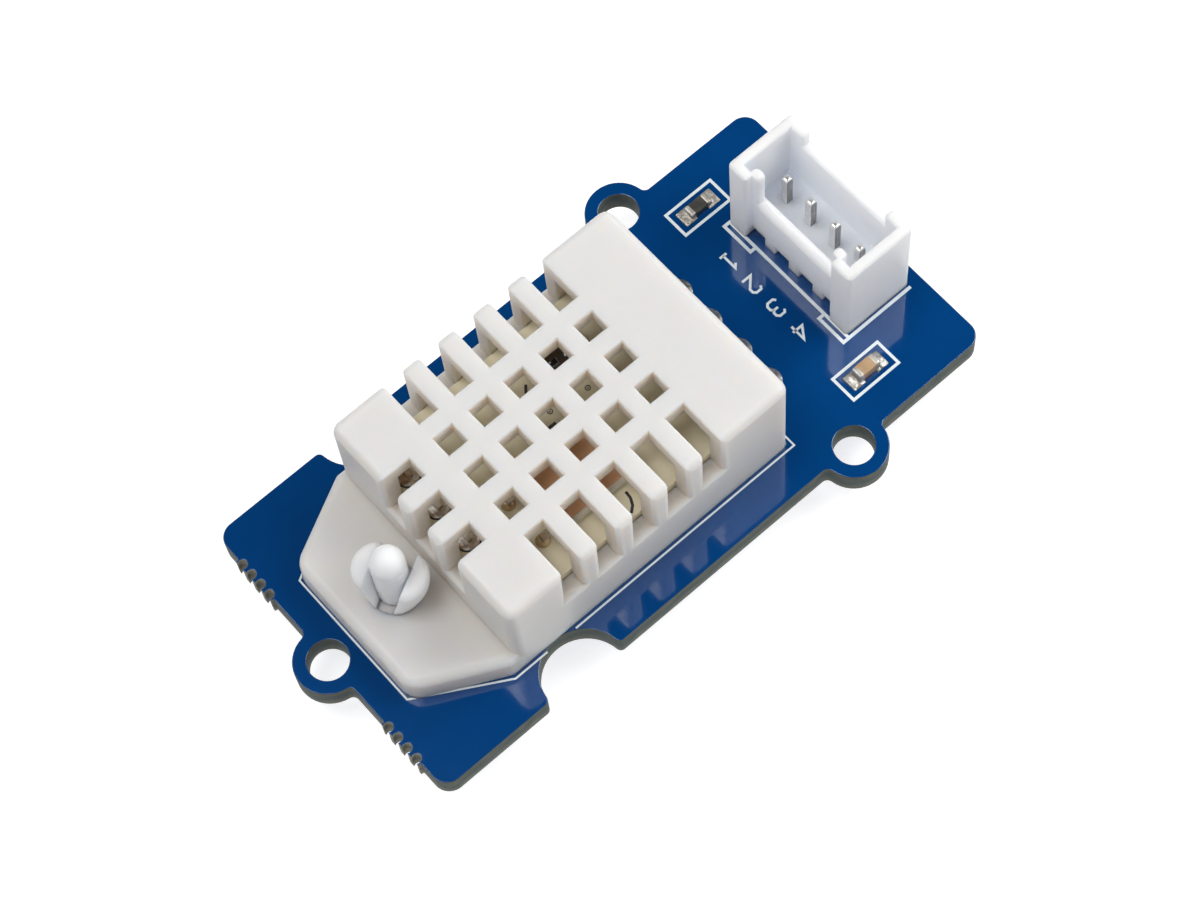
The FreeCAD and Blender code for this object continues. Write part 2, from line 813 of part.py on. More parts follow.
# Temperature element: an epoxy bead with two fine leads bent down into the inner board
def makeBeadForm(name):
    form = document.addObject("Part::Ellipsoid", name)
    bind(form, "Radius1", "bead_height / 2")
    bind(form, "Radius2", "bead_length / 2")
    bind(form, "Radius3", "bead_width / 2")
    return form


def makeTemperatureElement():
    middle = f"{innerBoardTop} + bead_height / 2"
    finish(makeBeadForm("bead_form"), "thermistor_bead", beadX, "bead_y", middle)

    leads = []
    turnX = f"{beadX} + bead_length / 2 + bead_lead_reach"
    start = f"{beadX} + bead_length / 2 - bead_lead_overlap"
    for place, side in enumerate(("-", "+"), start=1):
        y = f"bead_y {side} bead_lead_pitch / 2"
        across = document.addObject("Part::Cylinder", f"bead_lead_across_{place}")
        bind(across, "Radius", "bead_lead_radius")
        bind(across, "Height", f"{turnX} - ({start})")
        across.Placement.Rotation = FreeCAD.Rotation(Vector(0, 1, 0), 90)
        placeAt(across, start, y, middle)
        down = document.addObject("Part::Cylinder", f"bead_lead_down_{place}")
        bind(down, "Radius", "bead_lead_radius")
        bind(down, "Height", "bead_height / 2")
        placeAt(down, turnX, y, innerBoardTop)
        elbow = document.addObject("Part::Sphere", f"bead_lead_elbow_{place}")
        bind(elbow, "Radius", "bead_lead_radius")
        placeAt(elbow, turnX, y, middle)
        wire = document.addObject("Part::MultiFuse", f"bead_lead_wire_{place}")
        wire.Shapes = [across, down, elbow]
        lead = document.addObject("Part::Cut", f"bead_lead_{place}")
        lead.Base = wire
        lead.Tool = placeAt(makeBeadForm(f"bead_hollow_{place}"), beadX, "bead_y", middle)
        leads.append(lead)
    finish(gather("bead_leads", leads), "thermistor_leads")


# Controller in a small outline case on the underside of the inner board
def makeController():
    top = f"{innerBoardBottom} - chip_standoff"
    bottom = f"{top} - chip_height"
    middle = f"{top} - chip_height / 2"
    x0 = "can_middle - chip_length / 2"
    x1 = "can_middle + chip_length / 2"
    y0 = "-chip_width / 2"
    case = block("controller_case", x0, x1, y0, "chip_width / 2", bottom, top)
    finish(case, "controller_chip", x0, y0, bottom)
    legs = []
    half = "chip_leg_thickness / 2"
    footTop = f"{innerBoardBottom} - chip_leg_thickness"
    for sideName, side in (("low", -1), ("high", 1)):
        edge = f"{side} * chip_width / 2"
        shoulder = f"{edge} + {side} * chip_leg_shoulder"
        ankle = f"{shoulder} + {side} * chip_leg_thickness"
        toe = f"{edge} + {side} * chip_leg_reach"
        for place, x in enumerate(rowPlaces("chip_legs_a_side", "chip_leg_pitch", "can_middle"), start=1):
            leg = newBody(f"chip_leg_{sideName}_{place}")
            path = newSketch(leg, leg.Name + "_side", plane="YZ_Plane")
            addOutline(
                path,
                [
                    (edge, f"{middle} - {half}"),
                    (ankle, f"{middle} - {half}"),
                    (ankle, footTop),
                    (toe, footTop),
                    (toe, innerBoardBottom),
                    (shoulder, innerBoardBottom),
                    (shoulder, f"{middle} + {half}"),
                    (edge, f"{middle} + {half}"),
                ],
            )
            pad(path, "chip_leg_width", bothWays=True)
            legs.append(placeAt(leg, x, "0"))
    finish(gather("chip_legs", legs), "controller_chip_legs")


# A two ended chip part: a ceramic body between plated end caps. Level is the face of the
# board that carries it.
def makeChipPart(name, x, y, level, length, width, cap, height, hanging=False):
    bottom = f"{level} - {height}" if hanging else level
    top = f"{bottom} + {height}"
    ends = (f"{x} - {length} / 2", f"{x} + {length} / 2")
    sides = (f"{y} - {width} / 2", f"{y} + {width} / 2")
    coreStart = f"{ends[0]} + {cap}"
    coreEnd = f"{ends[1]} - {cap}"
    core = block(name + "_core", coreStart, coreEnd, *sides, bottom, top)
    finish(core, name + "_body", coreStart, sides[0], bottom)
    caps = [
        block(name + "_cap_1", ends[0], coreStart, *sides, bottom, top),
        block(name + "_cap_2", coreEnd, ends[1], *sides, bottom, top),
    ]
    finish(gather(name + "_caps", caps), name + "_end_caps")


# Solder ramps at both ends of a chip part on the main board
def makeChipSolder(name, x, y, height):
    ramps = []
    half = "chip_part_length / 2"
    for sideName, side in (("low", -1), ("high", 1)):
        ramp = newBody(f"{name}_ramp_{sideName}")
        section = newSketch(ramp, ramp.Name + "_section", plane="XZ_Plane")
        root = (f"{side} * {half}", "0")
        toe = (f"{side} * ({half} + chip_solder_reach)", "0", f"{-side} * chip_solder_bow")
        crest = (f"{side} * {half}", f"{height} - chip_solder_border")
        addOutline(section, [root, toe, crest])
        pad(section, "chip_part_width + 2 * chip_solder_border", bothWays=True)
        ramps.append(placeAt(ramp, x, y))
    finish(gather(name + "_ramps", ramps), name + "_solder_joints")


# Header: open topped shroud with two noses that key the plug, standing over its solder row
def makeConnectorHousing():
    body = newBody("connector_housing")
    middle = "header_shift"
    outline = newSketch(body, "header_outline")
    sides = (f"{middle} - header_width / 2", f"{middle} + header_width / 2")
    addRectangle(outline, headerFront, headerBack, *sides)
    pad(outline, "header_height")

    frontInside = f"{headerFront} + header_wall"
    noseInside = f"{headerFront} + header_front_recess + header_nose_depth"
    backInside = f"{headerBack} - header_wall"
    side = "(header_width / 2 - header_wall)"
    noseOuter = "(header_front_opening / 2 + header_nose_width)"
    cavity = newSketch(body, "header_cavity", height="header_height")
    addOutline(
        cavity,
        [
            (backInside, f"{middle} - {side}"),
            (backInside, f"{middle} + {side}"),
            (frontInside, f"{middle} + {side}"),
            (frontInside, f"{middle} + {noseOuter}"),
            (noseInside, f"{middle} + {noseOuter}"),
            (noseInside, f"{middle} - {noseOuter}"),
            (frontInside, f"{middle} - {noseOuter}"),
            (frontInside, f"{middle} - {side}"),
        ],
    )
    pocket(cavity, "header_height - header_floor_top")

    frontGap = newSketch(body, "header_front_gap", height="header_height")
    halfGap = "header_front_opening / 2"
    outside = f"{headerFront} - header_wall"
    addRectangle(frontGap, outside, noseInside, f"{middle} - {halfGap}", f"{middle} + {halfGap}")
    pocket(frontGap, "header_height - header_front_height")
    recess = newSketch(body, "header_front_recess", height="header_height")
    halfRecess = "header_recess_width / 2"
    recessFace = f"{headerFront} + header_front_recess"
    addRectangle(recess, outside, recessFace, f"{middle} - {halfRecess}", f"{middle} + {halfRecess}")
    pocket(recess, "header_height")
    backGap = newSketch(body, "header_back_gap", height="header_height")
    halfBack = "header_back_opening / 2"
    behind = f"{headerBack} + header_wall"
    addRectangle(backGap, backInside, behind, f"{middle} - {halfBack}", f"{middle} + {halfBack}")
    pocket(backGap, "header_height - header_back_height")

    feet = newSketch(body, "header_foot_gaps")
    for y in pinRow:
        gapSides = (f"{y} - header_foot_gap / 2", f"{y} + header_foot_gap / 2")
        addRectangle(feet, outside, f"{pinRowX} + header_foot_gap / 2", *gapSides)
    pocket(feet, "header_standoff", upwards=True)
    holes = newSketch(body, "header_pin_holes", height="header_floor_top")
    hole = "(pin_side / 2 + pin_fit)"
    for y in pinRow:
        addRectangle(holes, f"{pinRowX} - {hole}", f"{pinRowX} + {hole}", f"{y} - {hole}", f"{y} + {hole}")
    pocket(holes, "header_floor_top")

    noseCorners = [(noseInside, f"{middle} {way} {place}") for way in "+-" for place in (halfGap, noseOuter)]
    roundEdges(body, "header_noses", "header_nose_radius", uprightAt(noseCorners))
    finish(body, "connector_housing")


def makeConnectorPin(place, y):
    name = f"connector_pin_{place}"
    body = newBody(name)
    section = newSketch(body, name + "_section", height=f"{boardBottom} - pin_tail")
    half = "pin_side / 2"
    addRectangle(section, f"-{half}", half, f"-{half}", half)
    top = "header_floor_top + pin_rise"
    pad(section, f"board_thickness + pin_tail + {top}")
    for tip, height in (("top", top), ("tail", f"{boardBottom} - pin_tail")):
        chamfer = f"{name}_{tip}_chamfer"
        dressEdges(body, "PartDesign::Chamfer", chamfer, "Size", "pin_tip_chamfer", levelAt(height))
    finish(body, name, pinRowX, y)


# Push rivet sleeve: flange under the board and two legs spread above the ear
def makeRivetSleeve():
    body = newBody("rivet_sleeve")
    section = newSketch(body, "sleeve_section", plane="XZ_Plane")
    bore = "rivet_pin_radius + rivet_pin_fit"
    shank = "rivet_hole_radius - rivet_hole_fit"
    flangeBottom = f"{boardBottom} - rivet_flange_thickness"
    spread = "ear_thickness + rivet_leg_clearance"
    tip = "ear_thickness + rivet_leg_rise"
    addOutline(
        section,
        [
            (bore, flangeBottom),
            ("rivet_flange_radius - rivet_flange_round", flangeBottom, "rivet_flange_round"),
            ("rivet_flange_radius", f"{flangeBottom} + rivet_flange_round"),
            ("rivet_flange_radius", boardBottom),
            (shank, boardBottom),
            (shank, spread, "-rivet_leg_flare"),
            ("rivet_leg_radius", f"{tip} - rivet_leg_round", "rivet_leg_round"),
            ("rivet_leg_radius - rivet_leg_round", tip),
            ("rivet_leg_radius - rivet_leg_wall", tip),
            (bore, spread),
        ],
    )
    revolve(section)
    split = newSketch(body, "leg_split", plane="XZ_Plane")
    splitBottom = "ear_thickness - rivet_split_depth"
    above = f"{tip} + rivet_leg_clearance"
    addOutline(
        split,
        [
            ("-rivet_split_base / 2", splitBottom),
            ("rivet_split_base / 2", splitBottom),
            ("rivet_split_width / 2", tip),
            ("rivet_split_width / 2", above),
            ("-rivet_split_width / 2", above),
            ("-rivet_split_width / 2", tip),
        ],
    )
    pocket(split, throughAll, bothWays=True)
    finish(body, "rivet_sleeve", rivetX)
    bind(body, "Placement.Rotation.Angle", "rivet_leg_turn")


# Release pin: pushed in, it holds the legs apart; pulled down by its head, it lets them close
def makeRivetPin():
    body = newBody("rivet_pin")
    section = newSketch(body, "pin_section", plane="XZ_Plane")
    radius = "rivet_pin_radius"
    headTop = f"{boardBottom} - rivet_flange_thickness - rivet_head_gap"
    headBottom = f"{headTop} - rivet_head_thickness"
    top = "ear_thickness + rivet_pin_rise"
    dome = "rivet_pin_dome"
    shoulder = f"{top} - {dome}"
    domeRadius = f"({radius} ^ 2 + {dome} ^ 2) / (2 * {dome})"
    neck = f"{radius} - rivet_pin_neck"
    grooveTop = f"{shoulder} - rivet_pin_ring"
    grooveBottom = f"{grooveTop} - 2 * rivet_pin_neck"
    addOutline(
        section,
        [
            ("0", headBottom),
            ("rivet_head_radius - rivet_head_round", headBottom, "rivet_head_round"),
            ("rivet_head_radius", f"{headBottom} + rivet_head_round"),
            ("rivet_head_radius", headTop),
            (radius, headTop),
            (radius, f"{grooveBottom} - rivet_pin_neck"),
            (neck, grooveBottom),
            (neck, grooveTop),
            (radius, f"{grooveTop} + rivet_pin_neck"),
            (radius, shoulder, domeRadius),
            ("0", top),
        ],
    )
    revolve(section)
    finish(body, "rivet_pin", rivetX)


makeCircuitBoard()
makeSensorHousing()
makeBackCover()
makeInnerBoard()
for index, place in enumerate(leadRow, start=1):
    makeSensorLead(index, place)
makeSensorJoints()
makeInnerJoints()
makeHumidityElement()
makeTemperatureElement()
makeController()
smallPart = ("small_part_length", "small_part_width", "small_part_cap", "small_part_height")
resistorX = "can_middle + inner_resistor_x"
capacitorX = "can_middle + inner_capacitor_x"
makeChipPart("inner_resistor", resistorX, "inner_resistor_y", innerBoardTop, *smallPart)
makeChipPart("inner_capacitor", capacitorX, "0", innerBoardBottom, *smallPart, hanging=True)
makeConnectorHousing()
for index, place in enumerate(pinRow, start=1):
    makeConnectorPin(index, place)
makeHeaderJoints()
chipX = "board_length / 2 - chip_part_from_end"
for name, side in (("resistor", ""), ("capacitor", "-")):
    chipY = f"{side}(board_width / 2 - chip_part_from_side)"
    chipHeight = f"{name}_height"
    makeChipPart(name, chipX, chipY, "0", "chip_part_length", "chip_part_width", "chip_part_cap", chipHeight)
    makeChipSolder(name, chipX, chipY, chipHeight)
makeRivetSleeve()
makeRivetPin()
document.recompute()

# Nothing is written unless every object is sound.
for thing in document.Objects:
    if "Invalid" in thing.State or "Error" in thing.State:
        raise RuntimeError(f"{thing.Name} is {thing.State}")
for piece in products:
    if piece.Shape.isNull() or not piece.Shape.isValid():
        raise RuntimeError(f"{piece.Label} has no valid shape")

os.makedirs("parts", exist_ok=True)
for piece in products:
    piece.Shape.exportStep(f"parts/{piece.Label}.step")
    print(f"{piece.Label:26s} {len(piece.Shape.Solids):2d} solids  {piece.Shape.Volume:9.3f} mm3")
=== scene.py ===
import bpy
import bmesh
from itertools import product
from math import cos, pi, radians, sin, sqrt
from mathutils import Matrix, Vector


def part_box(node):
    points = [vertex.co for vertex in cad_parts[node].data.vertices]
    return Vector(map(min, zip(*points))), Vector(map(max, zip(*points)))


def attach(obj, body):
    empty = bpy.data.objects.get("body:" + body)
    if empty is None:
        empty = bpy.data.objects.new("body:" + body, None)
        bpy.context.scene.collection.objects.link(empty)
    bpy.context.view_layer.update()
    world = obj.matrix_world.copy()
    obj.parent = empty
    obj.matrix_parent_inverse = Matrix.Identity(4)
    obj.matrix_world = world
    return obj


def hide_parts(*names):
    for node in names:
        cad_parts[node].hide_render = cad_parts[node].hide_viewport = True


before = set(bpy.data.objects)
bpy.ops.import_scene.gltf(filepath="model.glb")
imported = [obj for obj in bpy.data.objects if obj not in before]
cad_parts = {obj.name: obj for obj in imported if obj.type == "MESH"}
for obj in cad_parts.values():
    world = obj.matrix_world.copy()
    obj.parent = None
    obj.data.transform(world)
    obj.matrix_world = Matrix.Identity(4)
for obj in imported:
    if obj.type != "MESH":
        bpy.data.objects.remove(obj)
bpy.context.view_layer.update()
print("frame loaded:", len(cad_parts), "nodes")

scene = bpy.context.scene
mm = 0.001
boardLow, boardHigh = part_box("circuit_board")
canLow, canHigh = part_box("sensor_housing")
headerLow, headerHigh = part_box("connector_housing")
boardTop = boardHigh.z
middleX = boardHigh.x - 20 * mm  # half of the 40 mm board
origin = Vector((middleX, 0, boardTop))
near = 1e-3  # millimetres within which two places are the same

# Ends and sides of the can and the header, in millimetres from the middle of the board
leadEnd, earTip, canSide = (canHigh.x - middleX) / mm, (canLow.x - middleX) / mm, canHigh.y / mm
headerFront, headerBack = (headerLow.x - middleX) / mm, (headerHigh.x - middleX) / mm


def addObject(name, data):
    thing = bpy.data.objects.new(name, data)
    scene.collection.objects.link(thing)
    return thing


def turnOutward(work):
    bmesh.ops.recalc_face_normals(work, faces=work.faces)


# A vertex, in millimetres from the middle of the board's upper face.
def addVertex(work, x, y, z):
    return work.verts.new((middleX + x * mm, y * mm, boardTop + z * mm))


def meshPiece(pieceName, work):
    mesh = bpy.data.meshes.new(pieceName)
    work.to_mesh(mesh)
    work.free()
    return addObject(pieceName, mesh)


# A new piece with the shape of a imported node: welded, with its flat faces made whole again.
def copyShape(nodeName, pieceName):
    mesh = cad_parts[nodeName].data.copy()
    mesh.name = pieceName
    if "custom_normal" in mesh.attributes:
        mesh.attributes.remove(mesh.attributes["custom_normal"])
    work = bmesh.new()
    work.from_mesh(mesh)
    bmesh.ops.remove_doubles(work, verts=work.verts, dist=0.0005 * mm)
    bmesh.ops.dissolve_limit(work, angle_limit=radians(0.4), verts=work.verts, edges=work.edges)
    turnOutward(work)
    work.to_mesh(mesh)
    work.free()
    mesh.materials.clear()
    return addObject(pieceName, mesh)


# A closed shell round the solid cells of a grid, given in millimetres from the middle of the board.
def addCells(work, lines, isSolid):
    corners = {}
    counts = [len(line) - 1 for line in lines]

    def corner(step):
        if step not in corners:
            corners[step] = addVertex(work, *[line[index] for line, index in zip(lines, step)])
        return corners[step]

    def solid(cell):
        if any(index < 0 or index >= count for index, count in zip(cell, counts)):
            return False
        return isSolid(*[(line[index] + line[index + 1]) / 2 for line, index in zip(lines, cell)])

    for cell in product(*[range(count) for count in counts]):
        if not solid(cell):
            continue
        for axis, way in product(range(3), (0, 1)):
            beside = list(cell)
            beside[axis] += 2 * way - 1
            if solid(beside):
                continue
            ring = []
            for first, second in ((0, 0), (1, 0), (1, 1), (0, 1)):
                step = list(cell)
                step[axis] += way
                step[(axis + 1) % 3] += first
                step[(axis + 2) % 3] += second
                ring.append(corner(tuple(step)))
            work.faces.new(ring if way else ring[::-1])
    work.normal_update()
    flatAngle = 0.01
    flat = [edge for edge in work.edges if edge.calc_face_angle() < flatAngle]
    bmesh.ops.dissolve_edges(work, edges=flat, use_verts=True)
    work.normal_update()


# A piece with each outward edge rounded by its own radius, in millimetres.
def roundEdges(pieceName, work, radiusOf, steps):
    layer = work.edges.layers.float.new("bevel_weight_edge")
    radii = {}
    leastAngle = radians(12)
    for edge in work.edges:
        if edge.is_convex and edge.calc_face_angle() > leastAngle:
            radii[edge] = radiusOf(*[(vertex.co - origin) / mm for vertex in edge.verts])
    widest = max(radii.values())
    for edge, radius in radii.items():
        edge[layer] = radius / widest
    piece = meshPiece(pieceName, work)
    bevel = piece.modifiers.new("rounding", "BEVEL")
    bevel.width = widest * mm
    bevel.segments = steps
    bevel.limit_method = "WEIGHT"
    bevel.use_clamp_overlap = False
    bakeShape(piece)
    return piece


# Turns a piece's modifiers into its own mesh.
def bakeShape(piece):
    evaluated = piece.evaluated_get(bpy.context.evaluated_depsgraph_get())
    shape = bpy.data.meshes.new_from_object(evaluated)
    piece.modifiers.clear()
    piece.data = shape
    shape.name = piece.name


def combine(piece, other, operation):
    joining = piece.modifiers.new(operation, "BOOLEAN")
    joining.operation = operation
    joining.solver = "EXACT"
    joining.object = other
    bakeShape(piece)
    bpy.data.objects.remove(other)


# Smooth shading with creases at the sharper edges, and flat faces that stay even.
def smoothFaces(piece, angle=35):
    for face in piece.data.polygons:
        face.use_smooth = True
    piece.data.set_sharp_from_angle(angle=radians(angle))
    weighted = piece.modifiers.new("even normals", "WEIGHTED_NORMAL")
    weighted.keep_sharp = True
    weighted.weight = 80


# A turned form: points are radius and height, in millimetres, about an upright line.
def addTurned(work, points, x, y, segments=64):
    rings = []
    for radius, height in points:
        ring = []
        for step in range(segments if radius else 1):
            turn = 2 * pi * step / segments
            ring.append(addVertex(work, x + radius * cos(turn), y + radius * sin(turn), height))
        rings.append(ring)
    for low, high in zip(rings, rings[1:]):
        for step in range(segments):
            after = (step + 1) % segments
            loop = [low[step % len(low)], low[after % len(low)], high[after % len(high)], high[step % len(high)]]
            loop = [vertex for index, vertex in enumerate(loop) if vertex not in loop[:index]]
            work.faces.new(loop)


def addBox(work, low, high):
    addCells(work, list(zip(low, high)), lambda *spot: True)


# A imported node's corners, in millimetres from the middle of the board's upper face.
def boxOf(nodeName):
    return [tuple((Vector(corner) - origin) / mm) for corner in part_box(nodeName)]


def inAny(value, middles, reach):
    return any(abs(value - middle) < reach for middle in middles)


def edgesOf(middles, reach):
    return {middle + way * reach for middle in middles for way in (-1, 1)}


def atEnd(start, end, ends):
    return any(abs(start.x - x) < near and abs(end.x - x) < near for x in ends)


# Places of a row of four, about its middle.
def fourRows(pitch):
    return [step * pitch for step in (-1.5, -0.5, 0.5, 1.5)]


def place(piece, slotName, material, *replaced, body="sensor_module"):
    piece.data.materials.append(material)
    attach(piece, body)
    if replaced:
        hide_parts(*replaced)


# Makes a bmesh a finished piece, here with rounded edges. The last values are those of place().
def placeRounded(pieceName, work, radiusOf, steps, *placing):
    piece = roundEdges(pieceName, work, radiusOf, steps)
    smoothFaces(piece)
    place(piece, *placing)


# The same for a closed form, with creases above the angle.
def placeClosed(pieceName, work, angle, *placing):
    turnOutward(work)
    piece = meshPiece(pieceName, work)
    smoothFaces(piece, angle)
    place(piece, *placing)


# Feeds a node's inputs: a socket is linked, anything else becomes the input's value.
def feed(tree, node, inputs):
    for name, value in inputs.items():
        if isinstance(value, bpy.types.NodeSocket):
            tree.links.new(value, node.inputs[name])
        else:
            node.inputs[name].default_value = value


def addNode(tree, kind, inputs=None, **settings):
    node = tree.nodes.new("ShaderNode" + kind)
    for name, value in settings.items():
        setattr(node, name, value)
    feed(tree, node, inputs or {})
    return node


def addMath(tree, operation, *values, clamp=False):
    return addNode(tree, "Math", dict(enumerate(values)), operation=operation, use_clamp=clamp).outputs[0]


def addRange(tree, value, low, high, start=0, end=1, **settings):
    inputs = {"Value": value, "From Min": low, "From Max": high, "To Min": start, "To Max": end}
    return addNode(tree, "MapRange", inputs, **settings).outputs[0]


def addBlend(tree, factor, a, b):
    return addNode(tree, "Mix", {"Factor": factor, "A": a, "B": b}, data_type="RGBA").outputs["Result"]


def newGroup(name, inputs, outputs):
    tree = bpy.data.node_groups.new(name, "ShaderNodeTree")
    for socketName, value in inputs.items():
        kind = "NodeSocketColor" if isinstance(value, tuple) else "NodeSocketFloat"
        tree.interface.new_socket(name=socketName, in_out="INPUT", socket_type=kind).default_value = value
    for socketName, kind in outputs.items():
        tree.interface.new_socket(name=socketName, in_out="OUTPUT", socket_type="NodeSocket" + kind)
    return tree, tree.nodes.new("NodeGroupInput").outputs, tree.nodes.new("NodeGroupOutput")


def newMaterial(name, settings):
    material = bpy.data.materials.new(name)
    material.use_nodes = True
    tree = material.node_tree
    shader = tree.nodes["Principled BSDF"]
    feed(tree, shader, settings)
    return material, tree, shader


grainSockets = {
    "Color": (0.8, 0.8, 0.8, 1),
    "Shade": (0.6, 0.6, 0.6, 1),
    "Cloud scale": 300,
    "Grain scale": 6000,
    "Variation": 0.2,
    "Roughness": 0.4,
    "Roughness spread": 0.1,
}


# Colour, gloss and height that wander over a surface: broad clouds and a fine grain.
def makeGrainGroup():
    outputs = {"Color": "Color", "Roughness": "Float", "Height": "Float"}
    tree, entry, leave = newGroup("surface grain", grainSockets, outputs)
    spot = addNode(tree, "TexCoord").outputs["Object"]
    noises = []
    for scale, detail, roughness in (("Cloud scale", 4, 0.55), ("Grain scale", 3, 0.6)):
        settings = {"Vector": spot, "Scale": entry[scale], "Detail": detail, "Roughness": roughness}
        noises.append(addNode(tree, "TexNoise", settings).outputs["Fac"])
    cloud, grain = noises
    grainShare, cloudMiddle, shadeRange = 0.35, 0.5, (0.45, 0.9)
    both = addMath(tree, "MULTIPLY_ADD", grain, grainShare, cloud)
    amount = addMath(tree, "MULTIPLY", addRange(tree, both, *shadeRange), entry["Variation"])
    color = addBlend(tree, amount, entry["Color"], entry["Shade"])
    offset = addMath(tree, "SUBTRACT", cloud, cloudMiddle)
    gloss = addMath(tree, "MULTIPLY_ADD", offset, entry["Roughness spread"], entry["Roughness"], clamp=True)
    feed(tree, leave, {"Color": color, "Roughness": gloss, "Height": grain})
    return tree


# Painted shade: ambient occlusion darkens and tints the colour where a surface is closed in, standing in for the
# dimmer light inside thin plastic.
def makePaintedShadeGroup():
    inputs = {"Color": (0.8, 0.8, 0.8, 1), "Tint": (0.6, 0.5, 0.4, 1), "Reach": 0.001, "Amount": 0.5}
    tree, entry, leave = newGroup("painted recess shade", inputs, {"Color": "Color"})
    openRange = (0.9, 0.25)
    hidden = addNode(tree, "AmbientOcclusion", {"Distance": entry["Reach"]}, samples=6)
    closed = addRange(tree, hidden.outputs["AO"], *openRange)
    amount = addMath(tree, "MULTIPLY", closed, entry["Amount"], clamp=True)
    feed(tree, leave, {"Color": addBlend(tree, amount, entry["Color"], entry["Tint"])})
    return tree


grainGroup = makeGrainGroup()
paintedShadeGroup = makePaintedShadeGroup()


def addGrain(tree, look, **linked):
    values = (*look["tones"], *look["scales"], look["variation"], *look["roughness"])
    return addNode(tree, "Group", {**dict(zip(grainSockets, values)), **linked}, node_tree=grainGroup).outputs


def finishShader(tree, shader, color, grain, height, bump):
    strength, depth = bump
    normal = addNode(tree, "Bump", {"Strength": strength, "Distance": depth, "Height": height}).outputs["Normal"]
    feed(tree, shader, {"Base Color": color, "Roughness": grain["Roughness"], "Normal": normal})


# A plain material, with optional painted shade in its recesses.
def makeFinish(name, look):
    material, tree, shader = newMaterial(name, look.get("shader", {}))
    grain = addGrain(tree, look)
    color = grain["Color"]
    # the recess entry paints shade where the surface is closed in
    if "recess" in look:
        color = addNode(tree, "Group", {"Color": color, **look["recess"]}, node_tree=paintedShadeGroup).outputs["Color"]
    finishShader(tree, shader, color, grain, grain["Height"], look["bump"])
    return material


# A look gives two tones, the scales of its clouds and its grain and how far they show, roughness and
# its spread, bump and its depth in metres, and what else it sets on the shader itself.
canLook = {
    "tones": ((0.74, 0.73, 0.72, 1), (0.69, 0.675, 0.66, 1)),
    "scales": (220, 9000),
    "variation": 0.35,
    "roughness": (0.42, 0.12),
    "bump": (0.25, 0.00002),
    # painted shade: closed-in places such as vents, slots and creases darkened toward warm tan
    "recess": {"Tint": (0.70, 0.62, 0.53, 1), "Reach": 0.003, "Amount": 0.75},
    "shader": {
        "Subsurface Weight": 1,
        "Subsurface Radius": (1, 0.8, 0.62),
        "Subsurface Scale": 0.0018,
        "IOR": 1.46,
    },
}
headerLook = {
    "tones": ((0.915, 0.935, 1, 1), (0.89, 0.915, 1, 1)),
    "scales": (260, 7000),
    "variation": 0.3,
    "roughness": (0.4, 0.15),
    "bump": (0.3, 0.00002),
    # painted shade: the shroud's closed-in places darkened toward cool blue
    "recess": {"Tint": (0.74, 0.79, 0.96, 1), "Reach": 0.003, "Amount": 0.3},
    "shader": {"Subsurface Weight": 1, "Subsurface Radius": (0.85, 0.9, 1), "Subsurface Scale": 0.0016},
}
rivetLook = {
    "tones": ((0.87, 0.89, 0.95, 1), (0.84, 0.86, 0.93, 1)),
    "scales": (500, 5000),
    "variation": 0.3,
    "roughness": (0.5, 0.15),
    "bump": (0.25, 0.00003),
    "shader": {"Subsurface Weight": 1, "Subsurface Radius": (0.85, 0.93, 1), "Subsurface Scale": 0.0018},
}
tinLook = {
    "tones": ((0.70, 0.68, 0.64, 1), (0.32, 0.28, 0.23, 1)),
    "scales": (2500, 5500),
    "variation": 0.8,
    "roughness": (0.45, 0.25),
    "bump": (0.35, 0.00004),
    "shader": {"Metallic": 1},
}
solderLook = {
    "tones": ((0.72, 0.70, 0.66, 1), (0.20, 0.17, 0.13, 1)),
    "scales": (2400, 4200),
    "variation": 0.95,
    "roughness": (0.34, 0.3),
    "bump": (0.55, 0.00012),
    "shader": {"Metallic": 1},
}
fluxLook = {
    "tones": ((0.70, 0.50, 0.26, 1), (0.42, 0.25, 0.09, 1)),
    "scales": (1100, 3600),
    "variation": 1,
    "roughness": (0.3, 0.2),
    "bump": (0.3, 0.00006),
    "shader": {"IOR": 1.55, "Coat Weight": 1, "Coat Roughness": 0.12},
}
resinLook = {
    "tones": ((0.022, 0.022, 0.024, 1), (0.05, 0.05, 0.052, 1)),
    "scales": (900, 15000),
    "variation": 0.5,
    "roughness": (0.5, 0.2),
    "bump": (0.5, 0.00001),
}
glazeLook = {
    "tones": ((0.035, 0.032, 0.028, 1), (0.08, 0.075, 0.06, 1)),
    "scales": (2200, 16000),
    "variation": 0.6,
    "roughness": (0.35, 0.3),
    "bump": (0.4, 0.00001),
}
capacitorLook = {
    "tones": ((0.50, 0.33, 0.18, 1), (0.36, 0.22, 0.11, 1)),
    "scales": (2600, 18000),
    "variation": 0.7,
    "roughness": (0.38, 0.2),
    "bump": (0.4, 0.00001),
    "shader": {"IOR": 1.55},
}
ceramicLook = {
    "tones": ((0.72, 0.68, 0.58, 1), (0.6, 0.56, 0.46, 1)),
    "scales": (1500, 15000),
    "variation": 0.5,
    "roughness": (0.5, 0.2),
    "bump": (0.3, 0.00001),
    "shader": {"IOR": 1.6},
}
filmLook = {
    "tones": ((0.76, 0.45, 0.26, 1), (0.62, 0.33, 0.17, 1)),
    "scales": (700, 9000),
    "variation": 0.6,
    "roughness": (0.36, 0.2),
    "bump": (0.3, 0.00001),
}
beadLook = {
    "tones": ((0.012, 0.012, 0.013, 1), (0.03, 0.03, 0.03, 1)),
    "scales": (900, 4000),
    "variation": 0.5,
    "roughness": (0.12, 0.1),
    "bump": (0.2, 0.00003),
    "shader": {"IOR": 1.6, "Coat Weight": 1, "Coat Roughness": 0.04},
}
